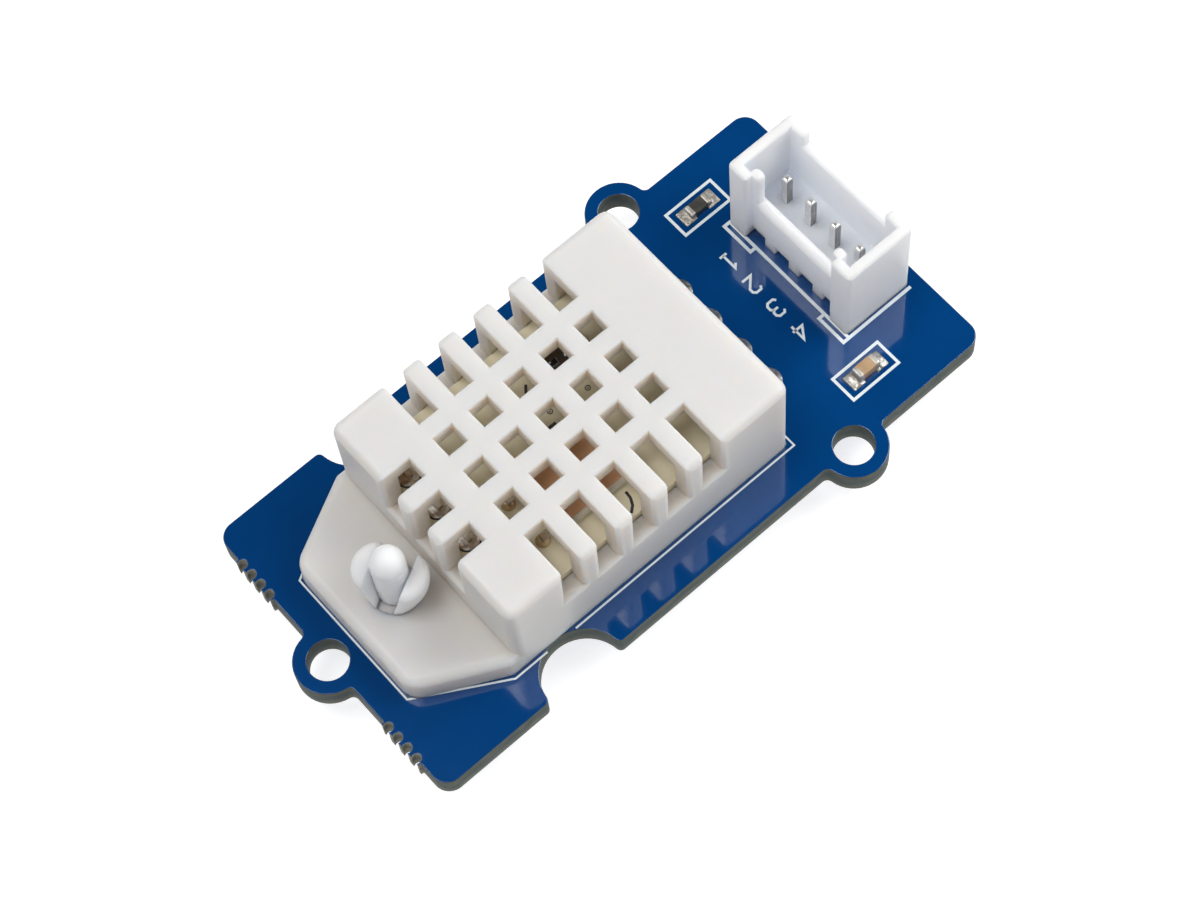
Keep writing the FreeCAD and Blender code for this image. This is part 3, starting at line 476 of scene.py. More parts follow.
innerBoardLook = {
    "tones": ((0.93, 0.85, 0.63, 1), (0.82, 0.74, 0.50, 1)),
    "scales": (450, 7000),
    "variation": 0.6,
    "roughness": (0.42, 0.2),
    "bump": (0.35, 0.00002),
}
printLook = {
    "tones": ((0.80, 0.85, 0.86, 1), (0.60, 0.68, 0.72, 1)),
    "scales": (1800, 14000),
    "variation": 0.6,
    "roughness": (0.5, 0.2),
    "bump": (0.4, 0.00001),
}
blackPrintLook = {**printLook, "tones": ((0.02, 0.02, 0.022, 1), (0.06, 0.055, 0.05, 1))}

canPlastic = makeFinish("ivory plastic", canLook)
headerPlastic = makeFinish("header nylon", headerLook)
rivetPlastic = makeFinish("rivet nylon", rivetLook)
tinMetal = makeFinish("tinned metal", tinLook)
brightSolder = makeFinish("bright solder", solderLook)
amberFlux = makeFinish("amber flux", fluxLook)
chipResin = makeFinish("chip resin", resinLook)
blackGlaze = makeFinish("black glaze", glazeLook)
tanCeramic = makeFinish("tan ceramic", capacitorLook)
paleCeramic = makeFinish("pale ceramic", ceramicLook)
brownFilm = makeFinish("brown film", filmLook)
blackEpoxy = makeFinish("black epoxy", beadLook)
innerLaminate = makeFinish("pale laminate", innerBoardLook)
whitePrint = makeFinish("white print", printLook)
blackPrint = makeFinish("black print", blackPrintLook)


waveRate = 20  # bands that the wave texture draws per unit of its scale


def addWave(tree, spot, pitch, direction, inputs):
    settings = {"Vector": spot, "Scale": 1 / pitch / waveRate, **inputs}
    return addNode(tree, "TexWave", settings, bands_direction=direction).outputs["Fac"]


maskLook = {
    "tones": ((0.0001, 0.042, 0.17, 1), (0.0002, 0.059, 0.23, 1)),
    "scales": (120, 9000),
    "variation": 0.6,
    "roughness": (0.1, 0.06),
    "bump": (0.12, 0.00001),
    "weavePitch": 0.0006,
    "weaveShare": 0.4,
    "weave": {"Distortion": 1.5, "Detail": 1},
    "shader": {"IOR": 1.55, "Coat Weight": 1, "Coat Roughness": 0.03, "Coat IOR": 1.5},
}


# Glossy blue mask: slow colour drift, the weave of the glass cloth just showing through.
def makeMask(look):
    material, tree, shader = newMaterial("blue mask", look["shader"])
    grain = addGrain(tree, look)
    spot = addNode(tree, "TexCoord").outputs["Object"]
    threads = [addWave(tree, spot, look["weavePitch"], direction, look["weave"]) for direction in "XY"]
    weave = addMath(tree, "MULTIPLY", *threads)
    height = addMath(tree, "MULTIPLY_ADD", weave, look["weaveShare"], grain["Height"])
    finishShader(tree, shader, grain["Color"], grain, height, look["bump"])
    return material


# Tones of the glass cloth and of the resin round it
laminateLook = {
    "tones": ((0.09, 0.092, 0.056, 1), (0.012, 0.036, 0.032, 1)),
    "scales": (900, 8000),
    "variation": 0.5,
    "roughness": (0.62, 0.2),
    "bump": (0.5, 0.00003),
    "layerPitch": 0.00022,
    "layers": {"Distortion": 3, "Detail": 3, "Detail Scale": 3},
}
snappedLook = {**laminateLook, "tones": ((0.30, 0.30, 0.24, 1), (0.13, 0.13, 0.10, 1))}


# Cut edge of the laminate: thin layers of glass cloth in yellowish resin, rough from the saw.
def makeLaminate(name, look):
    material, tree, shader = newMaterial(name, {})
    glass, resin = look["tones"]
    spot = addNode(tree, "TexCoord").outputs["Object"]
    layers = addWave(tree, spot, look["layerPitch"], "Z", look["layers"])
    grain = addGrain(tree, look, Color=addBlend(tree, layers, resin, glass))
    finishShader(tree, shader, grain["Color"], grain, addMath(tree, "ADD", layers, grain["Height"]), look["bump"])
    return material


pinLook = {
    "tones": ((0.86, 0.85, 0.83, 1), (0.70, 0.69, 0.67, 1)),
    "scales": (3000, 14000),
    "variation": 0.5,
    "roughness": (0.3, 0.2),
    "bump": (0.2, 0.00001),
    # dark colour of the sheared sides: part dull cut metal, part painted shade
    "shearedShade": (0.22, 0.21, 0.2, 1),
    "shearedShadeFacing": (0.75, 0.95),
    "streakScale": (14000, 14000, 500),
    "streaks": (0.35, 0.7, 1, 0.6),
    "shader": {"Metallic": 1},
}


# Pin metal: bright where it is plated, dull and streaked on the two sheared sides, whose dark colour is also painted
# shade standing in for the dark surroundings they reflect.
def makePinMetal(look):
    material, tree, shader = newMaterial("pin metal", look["shader"])
    grain = addGrain(tree, look)
    # painted shade by facing: sides whose normal points along Y are darkened
    facing = addNode(tree, "SeparateXYZ", {0: addNode(tree, "NewGeometry").outputs["Normal"]}).outputs["Y"]
    shearedShade = addRange(tree, addMath(tree, "ABSOLUTE", facing), *look["shearedShadeFacing"])
    spot = addNode(tree, "TexCoord").outputs["Object"]
    stretched = addNode(tree, "Mapping", {"Vector": spot, "Scale": look["streakScale"]}).outputs["Vector"]
    streaks = addNode(tree, "TexNoise", {"Vector": stretched, "Scale": 1, "Detail": 2}).outputs["Fac"]
    amount = addMath(tree, "MULTIPLY", shearedShade, addRange(tree, streaks, *look["streaks"]), clamp=True)
    color = addBlend(tree, amount, grain["Color"], look["shearedShade"])
    finishShader(tree, shader, color, grain, streaks, look["bump"])
    return material


blueMask = makeMask(maskLook)
pinMetal = makePinMetal(pinLook)
laminateEdge = makeLaminate("laminate edge", laminateLook)
snappedEdge = makeLaminate("snapped laminate", snappedLook)
print("materials ready")


# Main board, in millimetres from its middle
boardShape = {
    "edgeRound": 0.05,
    "edgeAngle": 50,
    "snapEdge": -19.6,
    "snapMiddle": 6.4,
    "snapReach": 1.8,
}


# Mask on both faces, bare laminate on cut edges and hole walls, paler where the tabs were snapped off.
def makeBoard():
    look = boardShape
    panel = copyShape("circuit_board", "board_panel")
    place(panel, "board_laminate", blueMask, "circuit_board")
    panel.data.materials.append(laminateEdge)
    panel.data.materials.append(snappedEdge)
    for face in panel.data.polygons:
        x, y = (face.center.x - middleX) / mm, face.center.y / mm
        snapped = x < look["snapEdge"] and abs(abs(y) - look["snapMiddle"]) < look["snapReach"]
        face.material_index = 0 if abs(face.normal.z) > 0.5 else 2 if snapped else 1
    bevel = panel.modifiers.new("soft edges", "BEVEL")
    bevel.width = look["edgeRound"] * mm
    bevel.segments = 2
    bevel.limit_method = "ANGLE"
    bevel.angle_limit = radians(look["edgeAngle"])
    bevel.use_clamp_overlap = False
    bevel.miter_outer = "MITER_ARC"
    bakeShape(panel)
    level = 0.999  # upright part of a flat face's normal
    for face in panel.data.polygons:
        face.use_smooth = abs(face.normal.z) < level


makeBoard()
print("board ready")


# Sensor can, in millimetres
canShape = {
    "length": 20,
    "wall": 1.2,
    "ventWidth": 1.3,
    "ventPitch": 2.5,
    "firstColumn": 4.45,
    "sideReach": 3.2,
    "endReach": 2.1,
    "sill": 3.75,
    "earThickness": 2,
    "earShoulder": 0.4,
    "earEndHalf": 4.9,
    "earInset": 0.004,
    "leadPitch": 2.54,
    "leadHalf": 0.35,
    "rivetFromCan": 2.3,
    "rivetHole": 1.495,  # pressed onto the rivet's 1.5 mm shank
    "cornerRound": 0.65,
    "topRound": 0.55,
    "finRound": 0.42,
    "slotRound": 0.14,
    "fineRound": 0.09,
    "earTipRound": 0.8,
    "earTopRound": 0.6,
}


def makeCan():
    look = canShape
    earEnd = leadEnd - look["length"]
    top = (canHigh.z - boardTop) / mm
    side, wall = canSide, look["wall"]
    half = look["ventWidth"] / 2
    columns = [earEnd + look["firstColumn"] + step * look["ventPitch"] for step in range(5)]
    rows = [step * look["ventPitch"] for step in (-1, 0, 1)]
    leads = fourRows(look["leadPitch"])

    def isSolid(x, y, z):
        if earEnd + wall < x < leadEnd - wall and abs(y) < side - wall and z < top - wall:
            return False
        if z > top - wall and inAny(x, columns, half) and inAny(y, rows, half):
            return False
        if z > look["sill"]:
            if inAny(x, columns, half) and abs(y) > side - look["sideReach"]:
                return False
            if inAny(y, rows, half) and x < earEnd + look["endReach"]:
                return False
        return not (x > leadEnd - wall and z < look["earThickness"] and inAny(y, leads, look["leadHalf"]))

    xLines = {earEnd, earEnd + wall, earEnd + look["endReach"], leadEnd - wall, leadEnd} | edgesOf(columns, half)
    yLines = {way * reach for way in (-1, 1) for reach in (side, side - wall, side - look["sideReach"])}
    yLines |= edgesOf(rows, half) | edgesOf(leads, look["leadHalf"])
    lines = (sorted(xLines), sorted(yLines), [0, look["earThickness"], look["sill"], top - wall, top])

    def radiusOf(start, end):
        upright = abs(start.z - end.z) > near
        onEnd = atEnd(start, end, (earEnd, leadEnd))
        onSide = all(abs(abs(point.y) - side) < near for point in (start, end))
        if upright and onEnd and onSide:
            return look["cornerRound"]
        if upright and (onEnd or onSide) and max(start.z, end.z) > look["sill"] + near:
            return look["finRound"]
        if all(abs(point.z - top) < near for point in (start, end)):
            return look["topRound"] if onEnd or onSide else look["slotRound"]
        return look["slotRound"] if onEnd or onSide else look["fineRound"]

    work = bmesh.new()
    addCells(work, lines, isSolid)
    shell = roundEdges("can_shell", work, radiusOf, steps=5)

    # The ear reaches a little into the can's end wall.
    root, shoulder = earEnd + look["cornerRound"], earEnd - look["earShoulder"]
    flush = side - look["earInset"]
    outline = [(root, -flush), (root, flush), (shoulder, flush), (earTip, look["earEndHalf"])]
    outline += [(earTip, -look["earEndHalf"]), (shoulder, -flush)]
    work = bmesh.new()
    base = [addVertex(work, x, y, 0) for x, y in outline]
    made = bmesh.ops.extrude_face_region(work, geom=[work.faces.new(base)])
    raised = [thing for thing in made["geom"] if isinstance(thing, bmesh.types.BMVert)]
    bmesh.ops.translate(work, verts=raised, vec=(0, 0, look["earThickness"] * mm))
    turnOutward(work)

    def earRadius(start, end):
        if abs(start.z - end.z) > near:
            return look["earTipRound"] if abs(start.x - earTip) < near else look["fineRound"]
        if min(start.z, end.z) < look["earThickness"] - near or abs(start.x - root) + abs(end.x - root) < near:
            return look["fineRound"]
        return look["earTopRound"]

    combine(shell, roundEdges("can_ear", work, earRadius, steps=6), "UNION")
    work = bmesh.new()
    below, above = -1, 3  # past both faces of the ear
    hole = [(0, below), (look["rivetHole"], below), (look["rivetHole"], above), (0, above)]
    addTurned(work, hole, earEnd - look["rivetFromCan"], 0)
    turnOutward(work)
    combine(shell, meshPiece("rivet_hole", work), "DIFFERENCE")
    smoothFaces(shell)
    place(shell, "can_plastic", canPlastic, "sensor_housing")


# Pin header, in millimetres
headerShape = {
    "pinPitch": 2,
    "wall": 0.7,
    "floor": 2,
    "frontHeight": 4.1,
    "backHeight": 5.8,
    "frontHalf": 2.95,
    "backHalf": 3.3,
    "recess": 0.5,
    "recessHalf": 3.45,
    "noseWidth": 0.8,
    "noseDepth": 0.7,
    "footHeight": 0.85,
    "footHalf": 0.575,
    "footEnd": 3.325,
    "wallRound": 0.5,
    "wallInnerRound": 0.14,
    "outerRound": 0.32,
    "rimRound": 0.24,
    "noseRound": 0.34,
    "neckRound": 0.1,
    "fineRound": 0.07,
}


def makeHeader():
    look = headerShape
    front, back = headerFront, headerBack
    middle, half = (headerLow.y + headerHigh.y) / 2 / mm, (headerHigh.y - headerLow.y) / 2 / mm
    top = (headerHigh.z - boardTop) / mm
    inner = half - look["wall"]
    noseOuter = look["frontHalf"] + look["noseWidth"]
    recess = front + look["recess"]
    noseEnd = recess + look["noseDepth"]
    footRows = fourRows(look["pinPitch"])

    def isSolid(x, y, z):
        across = abs(y - middle)
        if z > look["floor"]:
            if noseEnd < x < back - look["wall"] and across < inner:
                return False
            if front + look["wall"] < x <= noseEnd and noseOuter < across < inner:
                return False
        if z > look["frontHeight"] and x < noseEnd and across < look["frontHalf"]:
            return False
        if z > look["backHeight"] and x > back - look["wall"] and across < look["backHalf"]:
            return False
        if x < recess and across < look["recessHalf"]:
            return False
        overPin = inAny(y - middle, footRows, look["footHalf"])
        return not (z < look["footHeight"] and x < front + look["footEnd"] and overPin)

    xLines = [front, recess, front + look["wall"], noseEnd, front + look["footEnd"], back - look["wall"], back]
    reaches = [half, inner, noseOuter, look["recessHalf"], look["backHalf"], look["frontHalf"]]
    reaches += [abs(edge) for edge in edgesOf(footRows, look["footHalf"])]
    yLines = sorted({round(middle + way * reach, 4) for reach in reaches for way in (-1, 1)})
    zLines = [0, look["footHeight"], look["floor"], look["frontHeight"], look["backHeight"], top]
    work = bmesh.new()
    addCells(work, (xLines, yLines, zLines), isSolid)

    def radiusOf(start, end):
        across = [abs(point.y - middle) for point in (start, end)]
        low, high = sorted((start.z, end.z))
        far = max(start.x, end.x)
        upright = high - low > near
        outside = all(abs(reach - half) < near for reach in across)
        onNose = max(across) < look["frontHalf"] + near or min(start.x, end.x) > noseEnd - near
        byNeck = not upright and max(across) < noseOuter + near and low > top - near
        if low < look["footHeight"] + near and not upright:
            return look["fineRound"]
        if upright and outside and atEnd(start, end, (front, back)):
            return look["outerRound"]
        if high < look["frontHeight"] - near:
            return look["fineRound"]
        if high < look["frontHeight"] + near:
            return look["wallRound"] if far < recess + near else look["wallInnerRound"]
        if onNose and far < noseEnd + near and high > top - near:
            return look["noseRound"]
        if byNeck and far < noseEnd + near:
            return look["neckRound"]
        return look["rimRound"]

    placeRounded("header_shroud", work, radiusOf, 4, "header_plastic", headerPlastic, "connector_housing")


# Push rivet, in millimetres: heights are from the board's upper face
rivetShape = {
    "turn": -62,
    "bore": 1.02,
    "shank": 1.5,
    "collar": 2.03,
    "collarRound": 0.03,
    "flange": 2.5,
    "flangeThickness": 1,
    "flangeRound": 0.6,
    "flangeSteps": 8,
    "petalFoot": 1.2,
    "petalTip": 4.8,
    "petalRadius": 2.2,
    "petalBend": 2,
    "petalDrop": 0.34,
    "petalCushion": 0.42,
    "petalTaper": 1.2,
    "splitTip": 1.08,
    "splitFoot": 0.3,
    "splitInset": 0.2,
    "halfTip": 1.42,
    "halfFoot": 1.46,
    "arcSteps": 24,
    "rings": 10,
    "tipRings": 9,
}


# One ring round a petal: outer curve, flat split faces, and the side that wraps the pin.
def addPetalRing(work, height, outer, chord, half, centre, turn):
    steps, bore = rivetShape["arcSteps"], rivetShape["bore"]
    points = []
    for step in range(steps + 1):
        angle = pi * (step / steps - 0.5)
        reach = max(cos(angle), 0) ** rivetShape["petalTaper"]
        points.append((chord + (outer - chord) * reach, half * sin(angle)))
    for step in range(1, steps):
        y = half * (1 - 2 * step / steps)
        points.append((max(chord, sqrt(max(bore * bore - y * y, 0))), y))
    ring = []
    for point in points:
        spot = Matrix.Rotation(turn, 2) @ Vector(point)
        ring.append(work.verts.new((centre.x + spot.x * mm, centre.y + spot.y * mm, boardTop + height * mm)))
    return ring


def between(low, high, share):
    return low + (high - low) * share


def addPetal(work, centre, turn):
    look = rivetShape
    rings = []
    shoulder = look["petalTip"] - look["petalDrop"]
    for step in range(look["rings"]):
        share = step / (look["rings"] - 1)
        height = between(look["petalFoot"], shoulder, share)
        flare = min(1, max(0, (height - look["petalBend"]) / (shoulder - look["petalBend"])))
        outer = between(look["shank"], look["petalRadius"], sin(flare * pi / 2))
        chord = between(look["splitFoot"], look["splitTip"], share)
        half = between(look["halfFoot"], look["halfTip"], share)
        rings.append(addPetalRing(work, height, outer, chord, half, centre, turn))
    for step in range(1, look["tipRings"]):
        angle = pi / 2 * step / look["tipRings"]
        height = shoulder + look["petalDrop"] * sin(angle)
        inset = look["petalCushion"] * (1 - cos(angle))
        outer, half = look["petalRadius"] - inset, look["halfTip"] - inset
        chord = look["splitTip"] + look["splitInset"] * inset
        rings.append(addPetalRing(work, height, outer, chord, half, centre, turn))
    count = len(rings[0])
    for below, above in zip(rings, rings[1:]):
        for step in range(count):
            after = (step + 1) % count
            work.faces.new((below[step], below[after], above[after], above[step]))
    work.faces.new(rings[0])
    work.faces.new(rings[-1])


def makeRivet():
    look = rivetShape
    low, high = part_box("rivet_sleeve")
    centre = (low + high) / 2
    work = bmesh.new()
    board = (boardLow.z - boardTop) / mm
    under = board - look["flangeThickness"]
    rim, steps = look["flangeRound"], look["flangeSteps"]
    bore, shank, collar, collarRound = (look[name] for name in ("bore", "shank", "collar", "collarRound"))
    sleeve = [(bore, under)]
    for step in range(steps + 1):
        angle = pi / 2 * step / steps
        sleeve.append((look["flange"] - rim + rim * sin(angle), under + rim - rim * cos(angle)))
    sleeve += [(look["flange"], board), (shank, board), (shank, collar - collarRound), (shank - collarRound, collar)]
    sleeve += [(bore, collar), (bore, under)]
    addTurned(work, sleeve, (centre.x - middleX) / mm, centre.y / mm)
    for side in (0, 1):
        addPetal(work, centre, radians(look["turn"]) + pi * side)
    bmesh.ops.remove_doubles(work, verts=work.verts, dist=0.002 * mm)
    placeClosed("rivet_petals", work, 50, "rivet_plastic", rivetPlastic, "rivet_sleeve")
    button = copyShape("rivet_pin", "rivet_button")
    place(button, "rivet_plastic", rivetPlastic, "rivet_pin", body="release_pin")
    smoothFaces(button, angle=40)


makeCan()
makeHeader()
makeRivet()
print("plastic pieces ready")


# Header pins and chip parts, in millimetres
pinShape = {"edgeRound": 0.05, "tipRound": 0.17}
chipShape = {
    "capLength": 0.4,
    "capRound": 0.13,
    "bodyInset": 0.02,
    "bodyRound": 0.05,
    "solderHalf": 0.54,
    "solderReach": 0.46,
    "solderRim": 0.1,
    "solderClimb": 0.32,
    "solderStart": [(-0.36, 0, 0.86), (-0.33, 0.7, 0.95), (-0.28, 1, 1), (-0.01, 1, 1)],
    "solderEnd": [(0, 1, 0.99), (0.04, 0.7, 0.93), (0.06, 0, 0.84)],
    "solderHollow": 2.4,
    "solderBulge": 0.45,
    "solderWaist": 3,
    "solderSteps": 14,
}


def makePins():
    names = [f"connector_pin_{step}" for step in range(1, 5)]
    tip = boxOf(names[0])[1][2]
    work = bmesh.new()
    for name in names:
        addBox(work, *boxOf(name))

    def radiusOf(start, end):
        return pinShape["tipRound"] if min(start.z, end.z) > tip - near else pinShape["edgeRound"]

    placeRounded("header_pins", work, radiusOf, 4, "tinned_metal", pinMetal, *names)


# A solder fillet: a low bead on the pad that climbs the end of a chip in a hollow curve. Each station
# has its distance from the chip's end, its crest and its share of the width.
def addFillet(work, end, middle, way, climb):
    look = chipShape
    rim, reach, steps = look["solderRim"], look["solderReach"], look["solderSteps"]
    stations = [(offset, share * rim, width) for offset, share, width in look["solderStart"]]
    for step in range(steps):
        share = step / steps
        stations.append((reach * share, rim + (climb - rim) * (1 - share) ** look["solderHollow"], 1))
    stations += [(reach + offset, share * rim, width) for offset, share, width in look["solderEnd"]]
    rows = []
    for offset, crest, width in stations:
        row = []
        for step in range(2 * steps + 1):
            angle = pi * step / (2 * steps)
            across = cos(angle)
            bead = min(crest, rim) * max(sin(angle), 0) ** look["solderBulge"]
            height = bead + max(crest - rim, 0) * (1 - abs(across) ** look["solderWaist"])
            y = middle - look["solderHalf"] * width * across
            row.append(addVertex(work, end + way * offset, y, height))
        rows.append(row)
    for low, high in zip(rows, rows[1:]):
        for step in range(2 * steps):
            work.faces.new((low[step], low[step + 1], high[step + 1], high[step]))
    right, left = [row[-1] for row in rows[1:-1]], [row[0] for row in rows[1:-1]]
    work.faces.new(rows[0] + right + rows[-1][::-1] + left[::-1])


def makeChips():
    look = chipShape
    inset, length = look["bodyInset"], look["capLength"]
    for kind, material in (("resistor", blackGlaze), ("capacitor", tanCeramic)):
        low, high = boxOf(kind + "_end_caps")
        work = bmesh.new()
        bodyLow = (low[0] + length / 2, low[1] + inset, low[2] + inset)
        addBox(work, bodyLow, (high[0] - length / 2, high[1] - inset, high[2] - inset))
        names = (kind + "_ceramic", material, kind + "_body")
        placeRounded(kind + "_chip", work, lambda *ends: look["bodyRound"], 3, *names)
        work = bmesh.new()
        for start, end in ((low[0], low[0] + length), (high[0] - length, high[0])):
            addBox(work, (start, low[1], low[2]), (end, high[1], high[2]))
        names = ("tinned_metal", tinMetal, kind + "_end_caps")
        placeRounded(kind + "_caps", work, lambda *ends: look["capRound"], 4, *names)
        work = bmesh.new()
        for end, way in ((low[0], -1), (high[0], 1)):
            addFillet(work, end, (low[1] + high[1]) / 2, way, look["solderClimb"] * (high[2] - low[2]))
        placeClosed(kind + "_solder", work, 60, "solder", brightSolder, kind + "_solder_joints")


# What shows of the inner board through the vents, in millimetres. The turned forms are radius and height.
innerShape = {
    "edgeRound": 0.06,
    "gap": 0.02,
    "blob": [(0, -0.02), (0.66, -0.02), (0.68, 0.03), (0.63, 0.09), (0.5, 0.13), (0.3, 0.16), (0.12, 0.17), (0, 0.17)],
    "blobX": -10.5,
    "ringRadius": 0.72,
    "ringLine": 0.12,
    "joint": [(0, -0.02), (0.42, -0.02), (0.44, 0.06), (0.4, 0.18), (0.28, 0.27), (0.12, 0.31), (0, 0.31)],
    "jointX": -7.55,
    "jointInset": 0.6,
    "via": [(0, -0.02), (0.1, -0.02), (0.08, 0.03), (0, 0.02)],
    "viaPlaces": [(0.21, 1.13), (-2.27, 1.46)],
    "viaRing": 0.15,
    "viaLine": 0.05,
    "marks": [[(-2.35, -4.95), (-2.4, -5.4), (-2.6, -5.8), (-2.95, -6.1)], [(-2.6, 3.1), (-2.2, 3.6)]],
    "markLine": 0.16,
    "printRise": 0.01,
}


def ringPoints(x, y, radius, count):
    turns = [2 * pi * step / count for step in range(count)]
    return [(x + radius * cos(turn), y + radius * sin(turn)) for turn in turns]


def makeInnerBoard():
    look = innerShape
    low, high = boxOf("inner_circuit_board")
    top = high[2]
    back = leadEnd - canShape["length"] + canShape["wall"] + look["gap"]
    front, side = (end - canShape["wall"] - look["gap"] for end in (leadEnd, canSide))
    work = bmesh.new()
    addBox(work, (back, -side, low[2]), (front, side, top))
    names = ("inner_laminate", innerLaminate, "inner_circuit_board")
    placeRounded("inner_panel", work, lambda *ends: look["edgeRound"], 2, *names)

    def addJoints(pieceName, shape, places, segments, *placing):
        work = bmesh.new()
        for x, y in places:
            addTurned(work, [(radius, top + height) for radius, height in look[shape]], x, y, segments)
        placeClosed(pieceName, work, 50, "solder", *placing)

    leads = [(look["blobX"], row) for row in fourRows(canShape["leadPitch"])]
    jointLow, jointHigh = boxOf("humidity_solder_joints")
    joints = [(look["jointX"], y) for y in (jointLow[1] + look["jointInset"], jointHigh[1] - look["jointInset"])]
    addJoints("inner_lead_solder", "blob", leads, 48, brightSolder, "inner_solder_joints")
    addJoints("element_solder", "joint", joints, 36, amberFlux, "humidity_solder_joints")
    addJoints("inner_vias", "via", look["viaPlaces"], 24, brightSolder)
    work = bmesh.new()
    height = top + look["printRise"]
    for x, y in leads:
        addLine(work, ringPoints(x, y, look["ringRadius"], 40), look["ringLine"], height, closed=True)
    for x, y in look["viaPlaces"]:
        addLine(work, ringPoints(x, y, look["viaRing"], 20), look["viaLine"], height, closed=True)
    for mark in look["marks"]:
        addLine(work, mark, look["markLine"], height)
    finishPrint("inner_print", work, blackPrint, "inner_laminate")


makePins()
makeChips()
print("small parts ready")


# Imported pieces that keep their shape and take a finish
leadNodes = [f"sensor_lead_{step}" for step in range(1, 5)] + ["humidity_leads", "thermistor_leads"]
tinNodes = leadNodes + ["controller_chip_legs", "inner_resistor_end_caps", "inner_capacitor_end_caps"]
nodeFinish = {
    canPlastic: ["sensor_back_cover"],
    tinMetal: tinNodes,
    brightSolder: ["sensor_solder_joints", "connector_solder_joints"],
    paleCeramic: ["humidity_plate"],
    brownFilm: ["humidity_film"],
    blackEpoxy: ["thermistor_bead"],
    chipResin: ["controller_chip"],
    blackGlaze: ["inner_resistor_body"],
    tanCeramic: ["inner_capacitor_body"],
}
for material, nodeNames in nodeFinish.items():
    for nodeName in nodeNames:
        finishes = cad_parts[nodeName].data.materials
        finishes.clear()
        finishes.append(material)
print("packed pieces finished")


printThickness = 0.02
printHeight = 0.3 * printThickness  # a fifth of the print is sunk in the mask


# A flat line of even width along points, with mitred corners.
def addLine(work, points, width, height=printHeight, closed=False):
    flat = [Vector(point) for point in points]
    steps = len(flat)
    leastTurn = 0.35  # keeps a sharp mitre short
    sides = []
    for index, point in enumerate(flat):
        before = flat[index - 1] if index or closed else None
        after = flat[(index + 1) % steps] if index < steps - 1 or closed else None
        inward = (point - before).normalized() if before else (after - point).normalized()
        outward = (after - point).normalized() if after else inward
        across = Vector((-(inward.y + outward.y), inward.x + outward.x)).normalized()
        reach = width / 2 / max(across.dot(Vector((-inward.y, inward.x))), leastTurn)
        pair = []
        for way in (-1, 1):
            spot = point + across * reach * way
            pair.append(addVertex(work, spot.x, spot.y, height))
        sides.append(pair)
    for index in range(steps if closed else steps - 1):
        low, high = sides[index], sides[(index + 1) % steps]
        work.faces.new((low[0], high[0], high[1], low[1]))


def finishPrint(pieceName, work, material=whitePrint, slotName="board_laminate"):
    turnOutward(work)
    lines = meshPiece(pieceName, work)
    place(lines, slotName, material)
    skin = lines.modifiers.new("ink thickness", "SOLIDIFY")
    skin.thickness = printThickness * mm
    skin.offset = 0


def boxPoints(x0, x1, y0, y1):
    return [(x0, y0), (x1, y0), (x1, y1), (x0, y1)]


# White print on the board, in millimetres. The notch in the can's outline is counted from its shoulder.
canPrintShape = {
    "line": 0.11,
    "leadGap": 0.12,
    "earGap": 0.13,
    "sideGap": 0.2,
    "shoulderGap": 0.45,
    "earHalf": 4.69,
    "notch": (2.3, 4.35),
}


def makeCanPrint():
    look = canPrintShape
    work = bmesh.new()
    back, front, side = leadEnd + look["leadGap"], earTip - look["earGap"], canSide + look["sideGap"]
    shoulder = leadEnd - canShape["length"] - look["shoulderGap"]
    notchStart, notchEnd = (shoulder + x for x in look["notch"])
    for way in (-1, 1):
        ear = [(front, 0), (front, way * look["earHalf"]), (shoulder, way * side), (notchStart, way * side)]
        addLine(work, ear, look["line"])
        addLine(work, [(notchEnd, way * side), (back, way * side), (back, 0)], look["line"])
    finishPrint("can_outline_print", work)


headerPrintShape = {
    "line": 0.2,
    "frontInset": 0.02,
    "backInset": 0.08,
    "lowGap": 0.2,
    "highInset": 0.1,
    "tabDepth": 0.42,
    "lowTab": 2.05,
    "highTab": 2.25,
}


def makeHeaderPrint():
    look = headerPrintShape
    work = bmesh.new()
    line = look["line"]
    front, back = headerFront + look["frontInset"], headerBack - look["backInset"]
    low, high = headerLow.y / mm - look["lowGap"], headerHigh.y / mm - look["highInset"]
    lowTab, highTab = low + look["lowTab"], high - look["highTab"]
    addLine(work, [(front, highTab - line / 2), (front, lowTab + line / 2)], line)
    addLine(work, [(front + line / 2, low), (back, low)], line)
    for start, end in ((highTab, high), (low, lowTab)):
        addLine(work, boxPoints(front - look["tabDepth"], front, start, end), line, closed=True)
    finishPrint("header_outline_print", work)


chipPrintShape = {"line": 0.18, "box": (3.45, 1.75), "place": (13.6, 7.1)}


def makeChipPrint():
    work = bmesh.new()
    length, width = chipPrintShape["box"]
    x, y = chipPrintShape["place"]
    for way in (-1, 1):
        box = boxPoints(x - length / 2, x + length / 2, way * y - width / 2, way * y + width / 2)
        addLine(work, box, chipPrintShape["line"], closed=True)
    finishPrint("chip_outline_print", work)


digitShape = {"height": 1.05, "stroke": 0.15, "x": 12.9}
digitStrokes = {
    "1": [[(0.1, 0.78), (0.32, 1), (0.32, 0)], [(0.08, 0), (0.56, 0)]],
    "2": [[(0.02, 0.82), (0.14, 1), (0.48, 1), (0.62, 0.85), (0.62, 0.62), (0.02, 0), (0.64, 0)]],
    "3": [
        [(0.02, 0.85), (0.15, 1), (0.48, 1), (0.62, 0.85), (0.62, 0.65), (0.5, 0.53), (0.22, 0.53)],
        [(0.5, 0.53), (0.64, 0.4), (0.64, 0.15), (0.5, 0), (0.13, 0), (0, 0.15)],
    ],
    "4": [[(0.48, 0), (0.48, 1), (0, 0.32), (0.66, 0.32)]],
}


